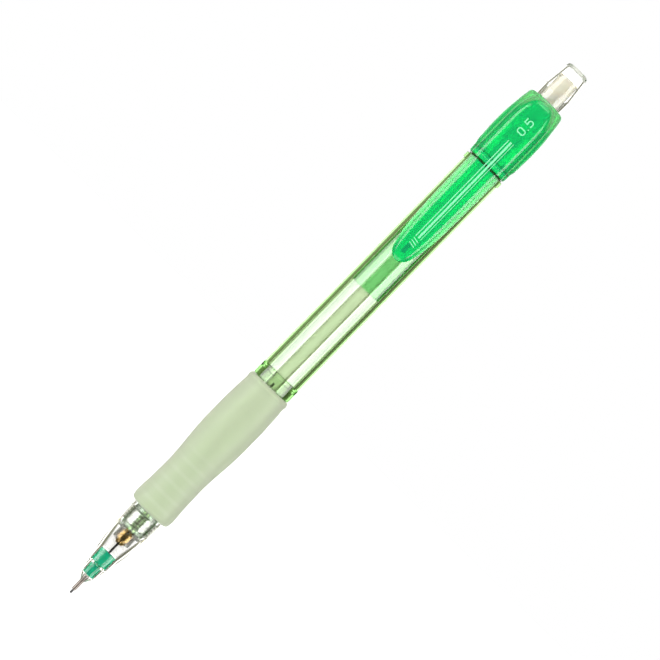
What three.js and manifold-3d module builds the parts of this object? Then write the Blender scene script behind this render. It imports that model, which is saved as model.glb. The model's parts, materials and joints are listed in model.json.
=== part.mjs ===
// Push-button mechanical pencil for 0.5 mm leads, with a sliding guide sleeve.
// Millimetres. The pencil stands along +Z with its writing point down: the origin is the
// middle of the lead's flat end, and the clip faces -Y. "Front" is the writing end (low Z)
// and "rear" the button end (high Z).
import * as THREE from 'three';
import { mergeVertices } from 'three/addons/utils/BufferGeometryUtils.js';
import Module from 'manifold-3d';

// ---------------------------------------------------------------- driving dimensions
// front and rear are heights, r is an outer radius and bore an inner radius.
const LENGTH = 143.9; // lead end to button end
const FACETS = 20; // round a turned piece
const FINE_FACETS = 14; // round the thinnest pieces

const LEAD = { r: 0.25, length: 57.7 };
const PIPE = { front: 0.9, rear: 7.6, r: 0.475, bore: 0.3 };
const SLIDER = { front: 4.96, rear: 11.06, noseR: 1.27, bodyR: 1.86, cupR: 1.45, cupFloor: 9.1 };
const SLIDER_BORE = { front: 0.51, rear: 0.92, step: 7.66 }; // two radii and the step's height
const CONE = { front: 3.46, rear: 22.1 };

// Rows of ridges: height of the first, then radii, then half widths at the root and crest.
const THREAD_PITCH = 0.7;
const MALE_THREAD = {
  first: 18.3, count: 4, pitch: THREAD_PITCH, root: 2.75, crest: 3.05, rootHalf: 0.22, crestHalf: 0.1,
};
const FEMALE_THREAD = {
  first: 18.65, count: 4, pitch: THREAD_PITCH, root: 3.15, crest: 2.9, rootHalf: 0.2, crestHalf: 0.08,
};
const GRIP_RIBS = {
  first: 24.6, count: 6, pitch: 2.6, root: 3.6, crest: 3.8, rootHalf: 0.55, crestHalf: 0.3,
};

const SLIT = { front: 13.3, rear: 27, width: 0.26, reach: 2, angles: [30, 150, 270] }; // degrees
const SPRING = { front: 18.1, rear: 31.95, turns: 9, r: 1.4, wireR: 0.16 };
const SPRING_STEPS_PER_TURN = 12;
const WIRE_CURVE_SEGMENTS = 3;
const TUBE = { front: 36.45, rear: 127.3, r: 1.43, bore: 1.08 };

const NECK = { front: 17.2, bore: 2.28 }; // threaded front end of the front barrel
const GRIP = { front: 22.25, rear: 56.65 };
const SPIGOT_FRONT = 51.6; // the barrel's front end plugs into the front barrel under the grip
const SPIGOT_GAP = 0.1;
const BARREL = { front: 56.75, rear: 119.3, r: 4.5, bore: 3.55 };
const FRONT_COLLAR = { rear: 59.8, r: 4.6, bore: 3.05 };
const REAR_COLLAR = { front: 115.9, rear: 117.2, r: 4.74 };
const LINER = { front: 83.4, rear: 120.3, r: 3.45, bore: 2.95, flangeFront: 119.4, flangeR: 3.85 };

const CAP = { front: 117.4, rear: 135, cavityR: 4.1, mouthR: 3.97, holeR: 3.35 };
const CUT_OVERSHOOT = 1; // how far the cavity runs past both ends of the cap
const LAND_WALL = 0.88;
const CLIP = { tip: 91.7, root: 117.25 };
const CLIP_BOSS = { front: 93.8, rear: 96, halfWidth: 0.5, face: 4.56, depth: 0.9 };

const HOLDER = { front: 124, rim: 137.2, r: 2.55, bore: 2.32, stemR: 2 };
const ERASER = { front: 129.35, rear: 141.2, r: 2.27 };
const BUTTON = { front: 127, rear: LENGTH, r: 3.1, bore: 2.63, ceiling: 142.9 };

// ---------------------------------------------------------------- helpers
const wasm = await Module();
wasm.setup();

// Keeps only positions, joins shared vertices and points the faces outwards.
function closed(geometry) {
  for (const name of Object.keys(geometry.attributes)) {
    if (name !== 'position') geometry.deleteAttribute(name);
  }
  geometry.clearGroups();
  const merged = mergeVertices(geometry, 1e-4);
  const { position } = merged.attributes;
  const corners = [new THREE.Vector3(), new THREE.Vector3(), new THREE.Vector3()];
  const triangles = [];
  let signedVolume = 0; // six times the volume, negative when the faces point inwards
  for (let i = 0; i < merged.index.count; i += 3) {
    const triangle = [0, 1, 2].map((k) => merged.index.getX(i + k));
    if (new Set(triangle).size < 3) continue;
    triangles.push(triangle);
    triangle.forEach((vertex, k) => corners[k].fromBufferAttribute(position, vertex));
    signedVolume += corners[0].dot(corners[1].cross(corners[2]));
  }
  merged.setIndex(triangles.flatMap(([u, v, w]) => (signedVolume < 0 ? [u, w, v] : [u, v, w])));
  return merged;
}

// A piece turned about Z. Every profile is a list of [radius, height] pairs;
// one that doesn't start and end on the axis is joined back to its first point.
function turned(profile, facets = FACETS) {
  const points = profile.map(([r, z]) => new THREE.Vector2(r, z));
  const onAxis = profile[0][0] === 0 && profile.at(-1)[0] === 0;
  if (!onAxis) points.push(points[0].clone());
  return closed(new THREE.LatheGeometry(points, facets).rotateX(Math.PI / 2));
}

// A lofted piece: at each height in stations, loopAt(z) gives a loop of [x, out] pairs, where
// out is the distance from the pencil's axis towards -Y. Loops run clockwise seen from +Z.
function lofted(stations, loopAt) {
  const loops = stations.map((z) => loopAt(z).map(([x, out]) => new THREE.Vector2(x, -out)));
  const count = loops[0].length;
  const positions = loops.flatMap((loop, i) => loop.flatMap(({ x, y }) => [x, y, stations[i]]));
  const index = [];
  const last = loops.length - 1;
  for (let i = 0; i < last; i++) {
    for (let k = 0; k < count; k++) {
      const next = (k + 1) % count;
      const lower = i * count;
      const upper = lower + count;
      index.push(lower + k, upper + next, lower + next);
      index.push(lower + k, upper + k, upper + next);
    }
  }
  for (const end of [0, last]) {
    const loop = loops[end];
    for (const [a, b, c] of THREE.ShapeUtils.triangulateShape([...loop], [])) {
      const facesUp = THREE.ShapeUtils.area([loop[a], loop[b], loop[c]]) > 0;
      const triangle = facesUp === (end === last) ? [a, b, c] : [a, c, b];
      index.push(...triangle.map((vertex) => vertex + end * count));
    }
  }
  const geometry = new THREE.BufferGeometry();
  geometry.setAttribute('position', new THREE.Float32BufferAttribute(positions, 3));
  geometry.setIndex(index);
  return closed(geometry);
}

// A box given by its size and centre.
const box = (sizeX, sizeY, sizeZ, x, y, z) =>
  closed(new THREE.BoxGeometry(sizeX, sizeY, sizeZ).translate(x, y, z));

// Geometry to a Manifold solid, for adding and cutting.
const toSolid = (geometry) =>
  new wasm.Manifold(
    new wasm.Mesh({
      numProp: 3,
      vertProperties: new Float32Array(geometry.attributes.position.array),
      triVerts: new Uint32Array(geometry.index.array),
    }),
  );

function fromSolid(solid) {
  const mesh = solid.getMesh();
  const geometry = new THREE.BufferGeometry();
  const positions = new Float32Array(mesh.vertProperties);
  geometry.setAttribute('position', new THREE.BufferAttribute(positions, 3));
  geometry.setIndex(new THREE.BufferAttribute(new Uint32Array(mesh.triVerts), 1));
  return closed(geometry);
}

// Profile points of a row of rings, in rising height.
function ridges({ first, count, pitch, root, crest, rootHalf, crestHalf }) {
  const points = [];
  for (let i = 0; i < count; i++) {
    const z = first + i * pitch;
    points.push([root, z - rootHalf], [crest, z - crestHalf]);
    points.push([crest, z + crestHalf], [root, z + rootHalf]);
  }
  return points;
}

// The value at height z, read from a table of [height, value] pairs that spans z.
function along(table, z) {
  const above = Math.max(1, table.findIndex(([height]) => height >= z));
  const [z0, value0] = table[above - 1];
  const [z1, value1] = table[above];
  return value0 + ((value1 - value0) * (z - z0)) / (z1 - z0);
}

// ---------------------------------------------------------------- tip
// Thin steel pipe that the lead writes through.
const leadSleeve = () => turned([
  [PIPE.bore, PIPE.front], [0.4, PIPE.front], [PIPE.r, PIPE.front + 0.15],
  [PIPE.r, PIPE.rear], [PIPE.bore, PIPE.rear],
], FINE_FACETS);

// Moulded slider that carries the pipe, with a cup at the rear for the chuck to come into.
const sleeveSlider = () => turned([
  [SLIDER_BORE.front, SLIDER.front], [1.02, SLIDER.front],
  [SLIDER.noseR, SLIDER.front + 0.29], [SLIDER.noseR, 7.6],
  [SLIDER.bodyR, 8.2], [SLIDER.bodyR, 10.8], [1.7, SLIDER.rear],
  [SLIDER.cupR, SLIDER.rear], [SLIDER.cupR, SLIDER.cupFloor],
  [SLIDER_BORE.rear, SLIDER.cupFloor], [SLIDER_BORE.rear, SLIDER_BORE.step],
  [SLIDER_BORE.front, SLIDER_BORE.step],
]);

// Rubber ring that holds the lead while the chuck is open.
const leadRetainer = () => turned([
  [0.27, 8.0], [0.45, 7.72], [0.89, 7.72], [0.89, 9.02], [0.6, 9.02], [0.27, 8.5],
], FINE_FACETS);

// Hollow cone, threaded inside its rear end.
function tipCone() {
  const outside = [
    [0.62, CONE.front], [1.45, 4.84], [2.15, 7.7], [2.53, 9.7], [2.8, 11.3],
    [3.08, 12.8], [3.33, 15.6], [3.45, 18.0], [3.58, 20.2], [3.64, CONE.rear],
  ];
  const inside = [
    [0.53, CONE.front], [0.53, 4.8], [1.32, 4.8], [1.32, 7.5], [1.92, 8.05],
    [1.92, 11.0], [2.63, 15.6], [2.92, 17.2], [FEMALE_THREAD.root, 17.6],
    ...ridges(FEMALE_THREAD),
    [FEMALE_THREAD.root, CONE.rear],
  ];
  return turned([...outside, ...inside.reverse()]);
}

// ---------------------------------------------------------------- clutch
// The clutch ring slides in this sleeve's nose, and the spring seats in its rear.
const guideSleeve = () => turned([
  [1.72, 14.2], [1.95, 14.2], [2.05, 14.35], [2.05, 16.45], [2.7, 16.45], [2.7, 17.05],
  [2.2, 17.05], [2.2, 24.0], [1.9, 24.0], [1.9, 17.7], [1.0, 17.7], [1.0, 16.9], [1.72, 16.9],
]);

const clutchRing = () => turned([
  [1.28, 14.6], [1.5, 14.6], [1.62, 14.72], [1.62, 16.38], [1.5, 16.5], [1.12, 16.5],
]);

// Collet: a tapered head on a long split shank. Three slits make three jaws.
function chuck() {
  let solid = toSolid(turned([
    [0.29, 13.5], [0.55, 13.5], [1.05, 13.95], [1.3, 14.42], [1.22, 14.62], [1.05, 16.6],
    [0.82, 17.0], [0.82, 36.0], [0.5, 36.0], [0.5, 17.5], [0.29, 16.5],
  ]));
  const { front, rear, width, reach, angles } = SLIT;
  for (const angle of angles) {
    const slit = box(reach, width, rear - front, reach / 2, 0, (front + rear) / 2);
    solid = solid.subtract(toSolid(slit.rotateZ(THREE.MathUtils.degToRad(angle))));
  }
  return fromSolid(solid);
}

// Centre line of the spring's wire.
class Coil extends THREE.Curve {
  getPoint(t, target = new THREE.Vector3()) {
    const { front, rear, turns, r } = SPRING;
    const angle = 2 * Math.PI * turns * t;
    return target.set(r * Math.cos(angle), r * Math.sin(angle), front + (rear - front) * t);
  }
}

function chuckSpring() {
  const wire = new THREE.Shape();
  wire.absarc(0, 0, SPRING.wireR, 0, 2 * Math.PI, false);
  return closed(new THREE.ExtrudeGeometry(wire, {
    steps: SPRING.turns * SPRING_STEPS_PER_TURN,
    curveSegments: WIRE_CURVE_SEGMENTS,
    bevelEnabled: false,
    extrudePath: new Coil(),
  }));
}

// Joins the chuck's shank to the lead tube.
const chuckConnector = () => turned([
  [0.86, 32.2], [1.95, 32.2], [1.95, 33.2], [1.75, 33.6],
  [1.75, 40.0], [1.47, 40.0], [1.47, 36.3], [0.86, 36.3],
]);

const leadTube = () => turned([
  [TUBE.bore, TUBE.front], [TUBE.r, TUBE.front], [TUBE.r, TUBE.rear], [TUBE.bore, TUBE.rear],
]);

const lead = () => closed(
  new THREE.CylinderGeometry(LEAD.r, LEAD.r, LEAD.length, FINE_FACETS)
    .rotateX(Math.PI / 2)
    .translate(0, 0, LEAD.length / 2),
);

// ---------------------------------------------------------------- body
// Threaded neck, ribbed seat for the grip, and a wide socket at the rear.
const frontBarrel = () => turned([
  [NECK.bore, NECK.front], [2.65, NECK.front], [MALE_THREAD.root, 17.35],
  ...ridges(MALE_THREAD),
  [MALE_THREAD.root, 22.2], [GRIP_RIBS.root, 22.2],
  ...ridges(GRIP_RIBS),
  [GRIP_RIBS.root, 39.2], [3.75, 39.8], [3.75, 50.2], [4.25, 50.7], [4.25, 56.5],
  [3.78, 56.5], [3.78, SPIGOT_FRONT - SPIGOT_GAP], [3.3, SPIGOT_FRONT - SPIGOT_GAP],
  [3.3, 41.0], [NECK.bore, 37.5],
]);

// Long tube with a spigot and collar at the front and a second collar near the rear.
const barrel = () => turned([
  [3.3, SPIGOT_FRONT], [3.6, SPIGOT_FRONT], [3.72, SPIGOT_FRONT + 0.2], [3.72, BARREL.front],
  [4.5, BARREL.front], [FRONT_COLLAR.r, 56.9], [FRONT_COLLAR.r, FRONT_COLLAR.rear - 0.1],
  [BARREL.r, FRONT_COLLAR.rear], [BARREL.r, REAR_COLLAR.front],
  [REAR_COLLAR.r, REAR_COLLAR.front], [REAR_COLLAR.r, REAR_COLLAR.rear],
  [3.9, REAR_COLLAR.rear], [3.9, BARREL.rear],
  [BARREL.bore, BARREL.rear], [BARREL.bore, FRONT_COLLAR.rear],
  [FRONT_COLLAR.bore, FRONT_COLLAR.rear - 0.1], [FRONT_COLLAR.bore, 58.7], [3.3, 58.6],
]);

const grip = () => turned([
  // outside, waisted near the front
  [3.66, GRIP.front], [4.1, GRIP.front], [4.5, 22.6], [4.78, 23.3], [4.84, 23.9],
  [4.78, 25.3], [4.62, 28.4], [4.52, 32.4], [4.74, 36.3], [5.0, 39.5], [5.16, 42.0],
  [5.21, 44.5], [5.21, 49.0], [5.08, 52.1], [4.9, 54.9], [4.99, 55.5], [4.85, 56.3],
  // rear rim and bore
  [4.5, GRIP.rear], [4.35, GRIP.rear], [4.35, 50.55], [3.9, 50.05], [3.9, 23.7], [3.66, 23.4],
]);

// Liner of the barrel's rear half, with a flange at its rear end.
const innerSleeve = () => turned([
  [LINER.bore, LINER.front], [3.3, LINER.front], [LINER.r, LINER.front + 0.15],
  [LINER.r, LINER.flangeFront], [LINER.flangeR, LINER.flangeFront],
  [LINER.flangeR, LINER.rear], [LINER.bore, LINER.rear],
]);

// ---------------------------------------------------------------- cap and clip
// The land is a raised, round-ended band on the cap, in line with the clip.
// [height, half width at the foot], [height, half width of the top], [height, out].
const LAND_FOOT = [
  [CAP.front, 3.5], [125, 3.5], [130, 3.38], [131.5, 3.1],
  [132.7, 2.75], [133.7, 2.2], [134.3, 1.3], [134.6, 0.5],
];
const LAND_TOP = [
  [CAP.front, 2.9], [125, 2.9], [130, 2.78], [131.5, 2.55],
  [132.7, 2.2], [133.7, 1.65], [134.3, 0.8], [134.6, 0.2],
];
const LAND_OUT = [
  [CAP.front, 6.15], [125, 6.2], [130, 6.1], [132.7, 5.85],
  [133.7, 5.55], [134.3, 5.1], [134.6, 4.6],
];
const LAND_STATIONS = [CAP.front, 121, 125, 130, 131.5, 132.7, 133.7, 134.3, 134.6];
const LAND_CAVITY_STATIONS = [118.7, 121, 125, 130, 131.5, 132.6, 133.2];

// The land's loft, drawn in by inset. Its base lies at distance base from the axis, and its
// upright sides stop shoulder short of the crest.
const landLoft = (stations, { inset, base, shoulder }) =>
  lofted(stations, (z) => {
    const foot = along(LAND_FOOT, z) - inset;
    const top = along(LAND_TOP, z) - inset;
    const out = along(LAND_OUT, z) - inset;
    return [
      [-foot, base], [foot, base], [foot, out - shoulder], [top, out - 0.05],
      [0, out], [-top, out - 0.05], [-foot, out - shoulder],
    ];
  });

function cap() {
  const outside = turned([
    [0, CAP.front], [4.25, CAP.front], [4.6, 118.0], [4.72, 120.2], [4.84, 120.45],
    [5.08, 122.8], [5.17, 125.0], [5.1, 128.0], [4.98, 129.6], [4.82, 131.1], [4.64, 132.7],
    [4.35, 134.1], [3.98, 134.7], [3.65, CAP.rear], [0, CAP.rear],
  ]);
  const cavity = turned([
    [0, CAP.front - CUT_OVERSHOOT], [CAP.mouthR, CAP.front - CUT_OVERSHOOT],
    [CAP.mouthR, 120.4], [CAP.cavityR, 120.5], [CAP.cavityR, 131.2], [4.0, 133.4],
    [3.86, 134.4], [CAP.holeR, 134.5], [CAP.holeR, CAP.rear + CUT_OVERSHOOT],
    [0, CAP.rear + CUT_OVERSHOOT],
  ]);
  const land = landLoft(LAND_STATIONS, { inset: 0, base: 3, shoulder: 0.9 });
  // The hollow follows the land, one wall thickness in.
  const landCavity = landLoft(LAND_CAVITY_STATIONS, {
    inset: LAND_WALL,
    base: 2.6,
    shoulder: 0.8,
  });
  return fromSolid(
    toSolid(outside).add(toSolid(land)).subtract(toSolid(cavity)).subtract(toSolid(landCavity)),
  );
}

// [height, half width], then [height, out] for the outer crest and for the underside.
const CLIP_HALF_WIDTH = [
  [CLIP.tip, 0.35], [92.0, 1.0], [92.6, 1.75], [93.3, 2.15], [94.1, 2.45], [94.7, 2.62],
  [95.6, 2.82], [96.6, 3.0], [98.6, 3.27], [102.5, 3.55], [106.5, 3.69], [110.4, 3.75],
  [114.4, 3.81], [CLIP.root, 3.85],
];
const CLIP_OUT = [
  [CLIP.tip, 5.35], [92.3, 5.7], [93.3, 5.92], [95, 6.02], [100, 6.08], [CLIP.root, 6.15],
];
const CLIP_UNDER = [[CLIP.tip, 5.05], [92.3, 4.98], [94, 4.95], [CLIP.root, 4.98]];
const CLIP_STATIONS = [
  CLIP.tip, 92.0, 92.6, 93.3, 94.1, 95.6, 98.6, 102.5, 106.5, 112, CLIP.root,
];

function clipLoop(z) {
  const half = along(CLIP_HALF_WIDTH, z);
  const out = along(CLIP_OUT, z);
  const under = along(CLIP_UNDER, z);
  const top = 0.6 * half; // half width of the nearly flat top
  const drop = 0.2 * half + 0.05; // how far the side flanges reach in past the underside
  const lip = under - drop;
  const fillet = under - 0.35 * drop;
  const sideLow = under + 0.1 * (out - under);
  const sideHigh = under + 0.62 * (out - under);
  return [
    [-half, lip], [-0.92 * half, lip], [-0.8 * half, fillet], [-top, under],
    [top, under], [0.8 * half, fillet], [0.92 * half, lip], [half, lip],
    [0.97 * half, sideLow], [0.83 * half, sideHigh], [top, out - 0.04],
    [0, out], [-top, out - 0.04], [-0.83 * half, sideHigh], [-0.97 * half, sideLow],
  ];
}

// Flanged blade with a small block under its tip, facing the barrel.
function clip() {
  const { front, rear, halfWidth, face, depth } = CLIP_BOSS;
  const boss = box(2 * halfWidth, depth, rear - front, 0, -(face + depth / 2), (front + rear) / 2);
  return fromSolid(toSolid(lofted(CLIP_STATIONS, clipLoop)).add(toSolid(boss)));
}

// ---------------------------------------------------------------- push button and eraser
// Cup for the eraser, on a narrow stem round the lead tube.
const eraserHolder = () => turned([
  [1.47, HOLDER.front], [HOLDER.stemR, HOLDER.front], [HOLDER.stemR, 127.0],
  [HOLDER.r, 127.7], [HOLDER.r, HOLDER.rim], [HOLDER.bore, HOLDER.rim],
  [HOLDER.bore, 129.25], [1.1, 128.2], [1.1, 127.5], [1.47, 127.5],
]);

const eraser = () => turned([
  [0, ERASER.front], [2.2, ERASER.front], [ERASER.r, ERASER.front + 0.1],
  [ERASER.r, 140.9], [2.1, ERASER.rear], [0, ERASER.rear],
]);

// Hollow button, open at the front and closed at the rear.
const button = () => turned([
  // inside
  [0, BUTTON.ceiling], [1.75, BUTTON.ceiling], [2.15, 142.4], [2.42, 141.0], [2.75, 138.0],
  [BUTTON.bore, 137.5], [BUTTON.bore, BUTTON.front],
  // outside
  [BUTTON.r, BUTTON.front], [BUTTON.r, 135.0], [3.24, 137.0], [2.6, 142.4], [2.5, 143.0],
  [2.2, 143.6], [1.7, BUTTON.rear], [0, BUTTON.rear],
]);

// ---------------------------------------------------------------- materials
const COLOR = {
  clear: 0xf1f5ec,
  paleGreen: 0xcdebaf,
  deepGreen: 0x00c85f,
  teal: 0x00be82,
  brass: 0xc8a050,
  steel: 0xb4b4b0,
  blackRubber: 0x2c2c2c,
  greenishClear: 0xdfeadb,
  offWhite: 0xe6e6e0,
  tubeGreen: 0xc4dfa8,
  graphite: 0x2b2b2e,
  gripGreen: 0xcadaba,
  linerGreen: 0x5fd060,
  milkyWhite: 0xe8e8e2,
  cream: 0xe1decd,
};
const METAL = 1; // metalness of the brass and steel pieces
const TINTED = { color: COLOR.deepGreen, roughness: 0.08, opacity: 0.6 }; // cap and clip

const makeMaterial = ({ color, roughness, metalness = 0, opacity = 1 }) =>
  new THREE.MeshStandardMaterial({
    color,
    roughness,
    metalness,
    opacity,
    transparent: opacity < 1,
    flatShading: true,
  });

// ---------------------------------------------------------------- the assembly
const group = new THREE.Group();
group.name = 'mechanical_pencil';

// Adds a subgroup of pieces, each given as [name, geometry, finish].
function addSection(pieces) {
  const section = new THREE.Group();
  for (const [name, geometry, finish] of pieces) {
    geometry.computeVertexNormals();
    const mesh = new THREE.Mesh(geometry, makeMaterial(finish));
    mesh.name = name;
    section.add(mesh);
  }
  group.add(section);
}

// Tip
addSection([
  ['tip_cone', tipCone(), { color: COLOR.clear, roughness: 0.08, opacity: 0.3 }],
  ['sleeve_slider', sleeveSlider(), { color: COLOR.teal, roughness: 0.3 }],
  ['lead_sleeve', leadSleeve(), { color: COLOR.steel, roughness: 0.25, metalness: METAL }],
  ['lead_retainer', leadRetainer(), { color: COLOR.blackRubber, roughness: 0.8 }],
]);

// Clutch
addSection([
  ['guide_sleeve', guideSleeve(), { color: COLOR.greenishClear, roughness: 0.15, opacity: 0.4 }],
  ['clutch_ring', clutchRing(), { color: COLOR.brass, roughness: 0.22, metalness: METAL }],
  ['chuck', chuck(), { color: COLOR.brass, roughness: 0.28, metalness: METAL }],
  ['chuck_spring', chuckSpring(), { color: COLOR.steel, roughness: 0.3, metalness: METAL }],
  ['chuck_connector', chuckConnector(), { color: COLOR.offWhite, roughness: 0.35 }],
  ['lead_tube', leadTube(), { color: COLOR.tubeGreen, roughness: 0.2, opacity: 0.5 }],
  ['lead', lead(), { color: COLOR.graphite, roughness: 0.5, metalness: 0.1 }],
]);

// Body
addSection([
  ['front_barrel', frontBarrel(), { color: COLOR.paleGreen, roughness: 0.1, opacity: 0.4 }],
  ['barrel', barrel(), { color: COLOR.paleGreen, roughness: 0.06, opacity: 0.35 }],
  ['grip', grip(), { color: COLOR.gripGreen, roughness: 0.6, opacity: 0.75 }],
  ['inner_sleeve', innerSleeve(), { color: COLOR.linerGreen, roughness: 0.12, opacity: 0.5 }],
  ['cap', cap(), TINTED],
  ['clip', clip(), TINTED],
]);

// Rear
addSection([
  ['eraser_holder', eraserHolder(), { color: COLOR.milkyWhite, roughness: 0.15, opacity: 0.5 }],
  ['eraser', eraser(), { color: COLOR.cream, roughness: 0.85 }],
  ['button', button(), { color: COLOR.clear, roughness: 0.06, opacity: 0.3 }],
]);

export default group;
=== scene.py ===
"""A green see-through mechanical pencil with a frosted grip, a side clip and a push button.

It lies along Z, centred on the Z axis: the front is the tip (low Z), the rear is the push
button (high Z). The clip is on the -Y side, and the camera looks at it from there. Shapes
are worked out in millimetres and turned into metres as meshes and materials are made.
"""
import json
import math

import bmesh
import bpy
import numpy as np
from mathutils import Matrix, Vector


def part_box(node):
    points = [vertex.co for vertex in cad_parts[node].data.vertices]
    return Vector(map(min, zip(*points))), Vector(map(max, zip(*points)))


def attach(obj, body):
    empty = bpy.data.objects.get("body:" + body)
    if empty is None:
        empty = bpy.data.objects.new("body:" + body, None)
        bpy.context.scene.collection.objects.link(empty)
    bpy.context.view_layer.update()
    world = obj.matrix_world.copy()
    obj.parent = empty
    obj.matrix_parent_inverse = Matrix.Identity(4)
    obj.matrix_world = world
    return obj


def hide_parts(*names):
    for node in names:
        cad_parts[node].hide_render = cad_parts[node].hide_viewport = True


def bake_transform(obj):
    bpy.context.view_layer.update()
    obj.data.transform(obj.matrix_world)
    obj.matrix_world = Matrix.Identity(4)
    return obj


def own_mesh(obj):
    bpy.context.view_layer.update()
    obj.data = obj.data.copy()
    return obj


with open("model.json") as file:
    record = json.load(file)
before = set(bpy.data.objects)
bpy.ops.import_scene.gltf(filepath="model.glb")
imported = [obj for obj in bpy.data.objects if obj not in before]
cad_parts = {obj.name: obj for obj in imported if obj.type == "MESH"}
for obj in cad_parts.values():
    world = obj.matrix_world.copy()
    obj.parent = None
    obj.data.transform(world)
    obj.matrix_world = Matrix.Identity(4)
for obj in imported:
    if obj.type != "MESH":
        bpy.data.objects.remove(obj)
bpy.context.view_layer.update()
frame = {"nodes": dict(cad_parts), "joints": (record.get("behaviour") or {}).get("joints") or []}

MM = 0.001
BOX = {node: [np.array(corner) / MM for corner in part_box(node)] for node in frame["nodes"]}


def low(node):
    return float(BOX[node][0][2])


def high(node):
    return float(BOX[node][1][2])


def radius(node):
    return float(BOX[node][1][0] - BOX[node][0][0]) / 2


# Dimensions that several sections share
CAP0, CAP1 = low("cap"), high("cap")
CLIP0 = low("clip")
LINER0 = low("inner_sleeve")
PITCH = 0.7  # of the screw thread
THREAD0 = 18.0  # where the thread starts
CONE_THREAD_OFFSET = THREAD0 + PITCH / 2  # the cone's ridges lie between the neck's
RIB0, RIB_PITCH, RIBS = 24.6, 2.6, 6  # the first rib under the grip, their spacing and number


# ---------------------------------------------------------------- curves and outlines
def smooth(table):
    """A smooth curve with no overshoot through [place, value] pairs (monotone cubic)."""
    places, values = np.array(table, float).T
    gaps = np.diff(places)
    rises = np.diff(values) / gaps
    slopes = np.concatenate([[rises[0]], (rises[:-1] + rises[1:]) / 2, [rises[-1]]])
    slopes[1:-1][rises[:-1] * rises[1:] <= 0] = 0
    for i, rise in enumerate(rises):
        if rise == 0:
            slopes[i] = slopes[i + 1] = 0
            continue
        before, after = slopes[i] / rise, slopes[i + 1] / rise
        square = before * before + after * after
        if square > 9:  # steeper than this, the cubic would overshoot
            slopes[i] = 3 * before / math.sqrt(square) * rise
            slopes[i + 1] = 3 * after / math.sqrt(square) * rise

    def at(place):
        place = np.clip(place, places[0], places[-1])
        i = np.clip(np.searchsorted(places, place) - 1, 0, len(gaps) - 1)
        t = (place - places[i]) / gaps[i]
        return (
            (1 + 2 * t) * (1 - t) ** 2 * values[i]
            + t * (1 - t) ** 2 * gaps[i] * slopes[i]
            + t * t * (3 - 2 * t) * values[i + 1]
            + t * t * (t - 1) * gaps[i] * slopes[i + 1]
        )

    return at


def curve_points(table, step):
    """[radius, height] points along the smooth curve through [height, radius] pairs."""
    at = smooth(table)
    start, end = table[0][0], table[-1][0]
    count = max(2, int(abs(end - start) / step))
    return [[float(at(z)), float(z)] for z in np.linspace(start, end, count + 1)]


def thread_wall(wall, start, end):
    """A straight wall cut into many rings, so that a thread can be raised on it."""
    count = int(abs(end - start) / 0.045) + 1
    return [[wall, float(z), 0] for z in np.linspace(start, end, count)]


def filleted(points, corner=0.0):
    """A closed loop of [radius, height(, corner radius)] with its corners rounded, as
    [radius, height]. Gentle bends are left alone, and so are points on the axis."""
    rounded, count = [], len(points)
    for i in range(count):
        neighbours = (i, i - 1, (i + 1) % count)
        point, before, after = (np.array(points[k][:2], float) for k in neighbours)
        wanted = points[i][2] if len(points[i]) > 2 else corner
        back, ahead = before - point, after - point
        back_length, ahead_length = np.linalg.norm(back), np.linalg.norm(ahead)
        if wanted <= 0 or point[0] < 1e-6 or back_length < 1e-6 or ahead_length < 1e-6:
            rounded.append(point)
            continue
        back, ahead = back / back_length, ahead / ahead_length
        turn = math.pi - math.acos(max(-1, min(1, float(back @ ahead))))
        if turn < math.radians(14):
            rounded.append(point)
            continue
        cut_back = min(wanted * math.tan(turn / 2), 0.42 * back_length, 0.42 * ahead_length)
        bend = cut_back / math.tan(turn / 2)
        inward = (back + ahead) / np.linalg.norm(back + ahead)
        centre = point + inward * (bend / math.cos(turn / 2))
        first, last = point + back * cut_back - centre, point + ahead * cut_back - centre
        steps = max(2, int(math.degrees(turn) / 15))
        angle = math.atan2(first[1], first[0])
        sweep = (math.atan2(last[1], last[0]) - angle + math.pi) % (2 * math.pi) - math.pi
        for k in range(steps + 1):
            t = angle + sweep * k / steps
            rounded.append(centre + bend * np.array([math.cos(t), math.sin(t)]))
    return [list(map(float, point)) for point in rounded]


# ---------------------------------------------------------------- meshes
def make(name, verts, faces, normals=None):
    """A smooth-shaded object from points in mm."""
    mesh = bpy.data.meshes.new(name)
    mesh.from_pydata((np.asarray(verts) * MM).tolist(), [], faces)
    mesh.polygons.foreach_set("use_smooth", [True] * len(mesh.polygons))
    mesh.update()
    if normals is not None:
        mesh.normals_split_custom_set(normals)
    ob = bpy.data.objects.new(name, mesh)
    bpy.context.scene.collection.objects.link(ob)
    return ob


def face_outward(mesh):
    bm = bmesh.new()
    bm.from_mesh(mesh)
    bmesh.ops.recalc_face_normals(bm, faces=bm.faces)
    bm.to_mesh(mesh)
    bm.free()


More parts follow.
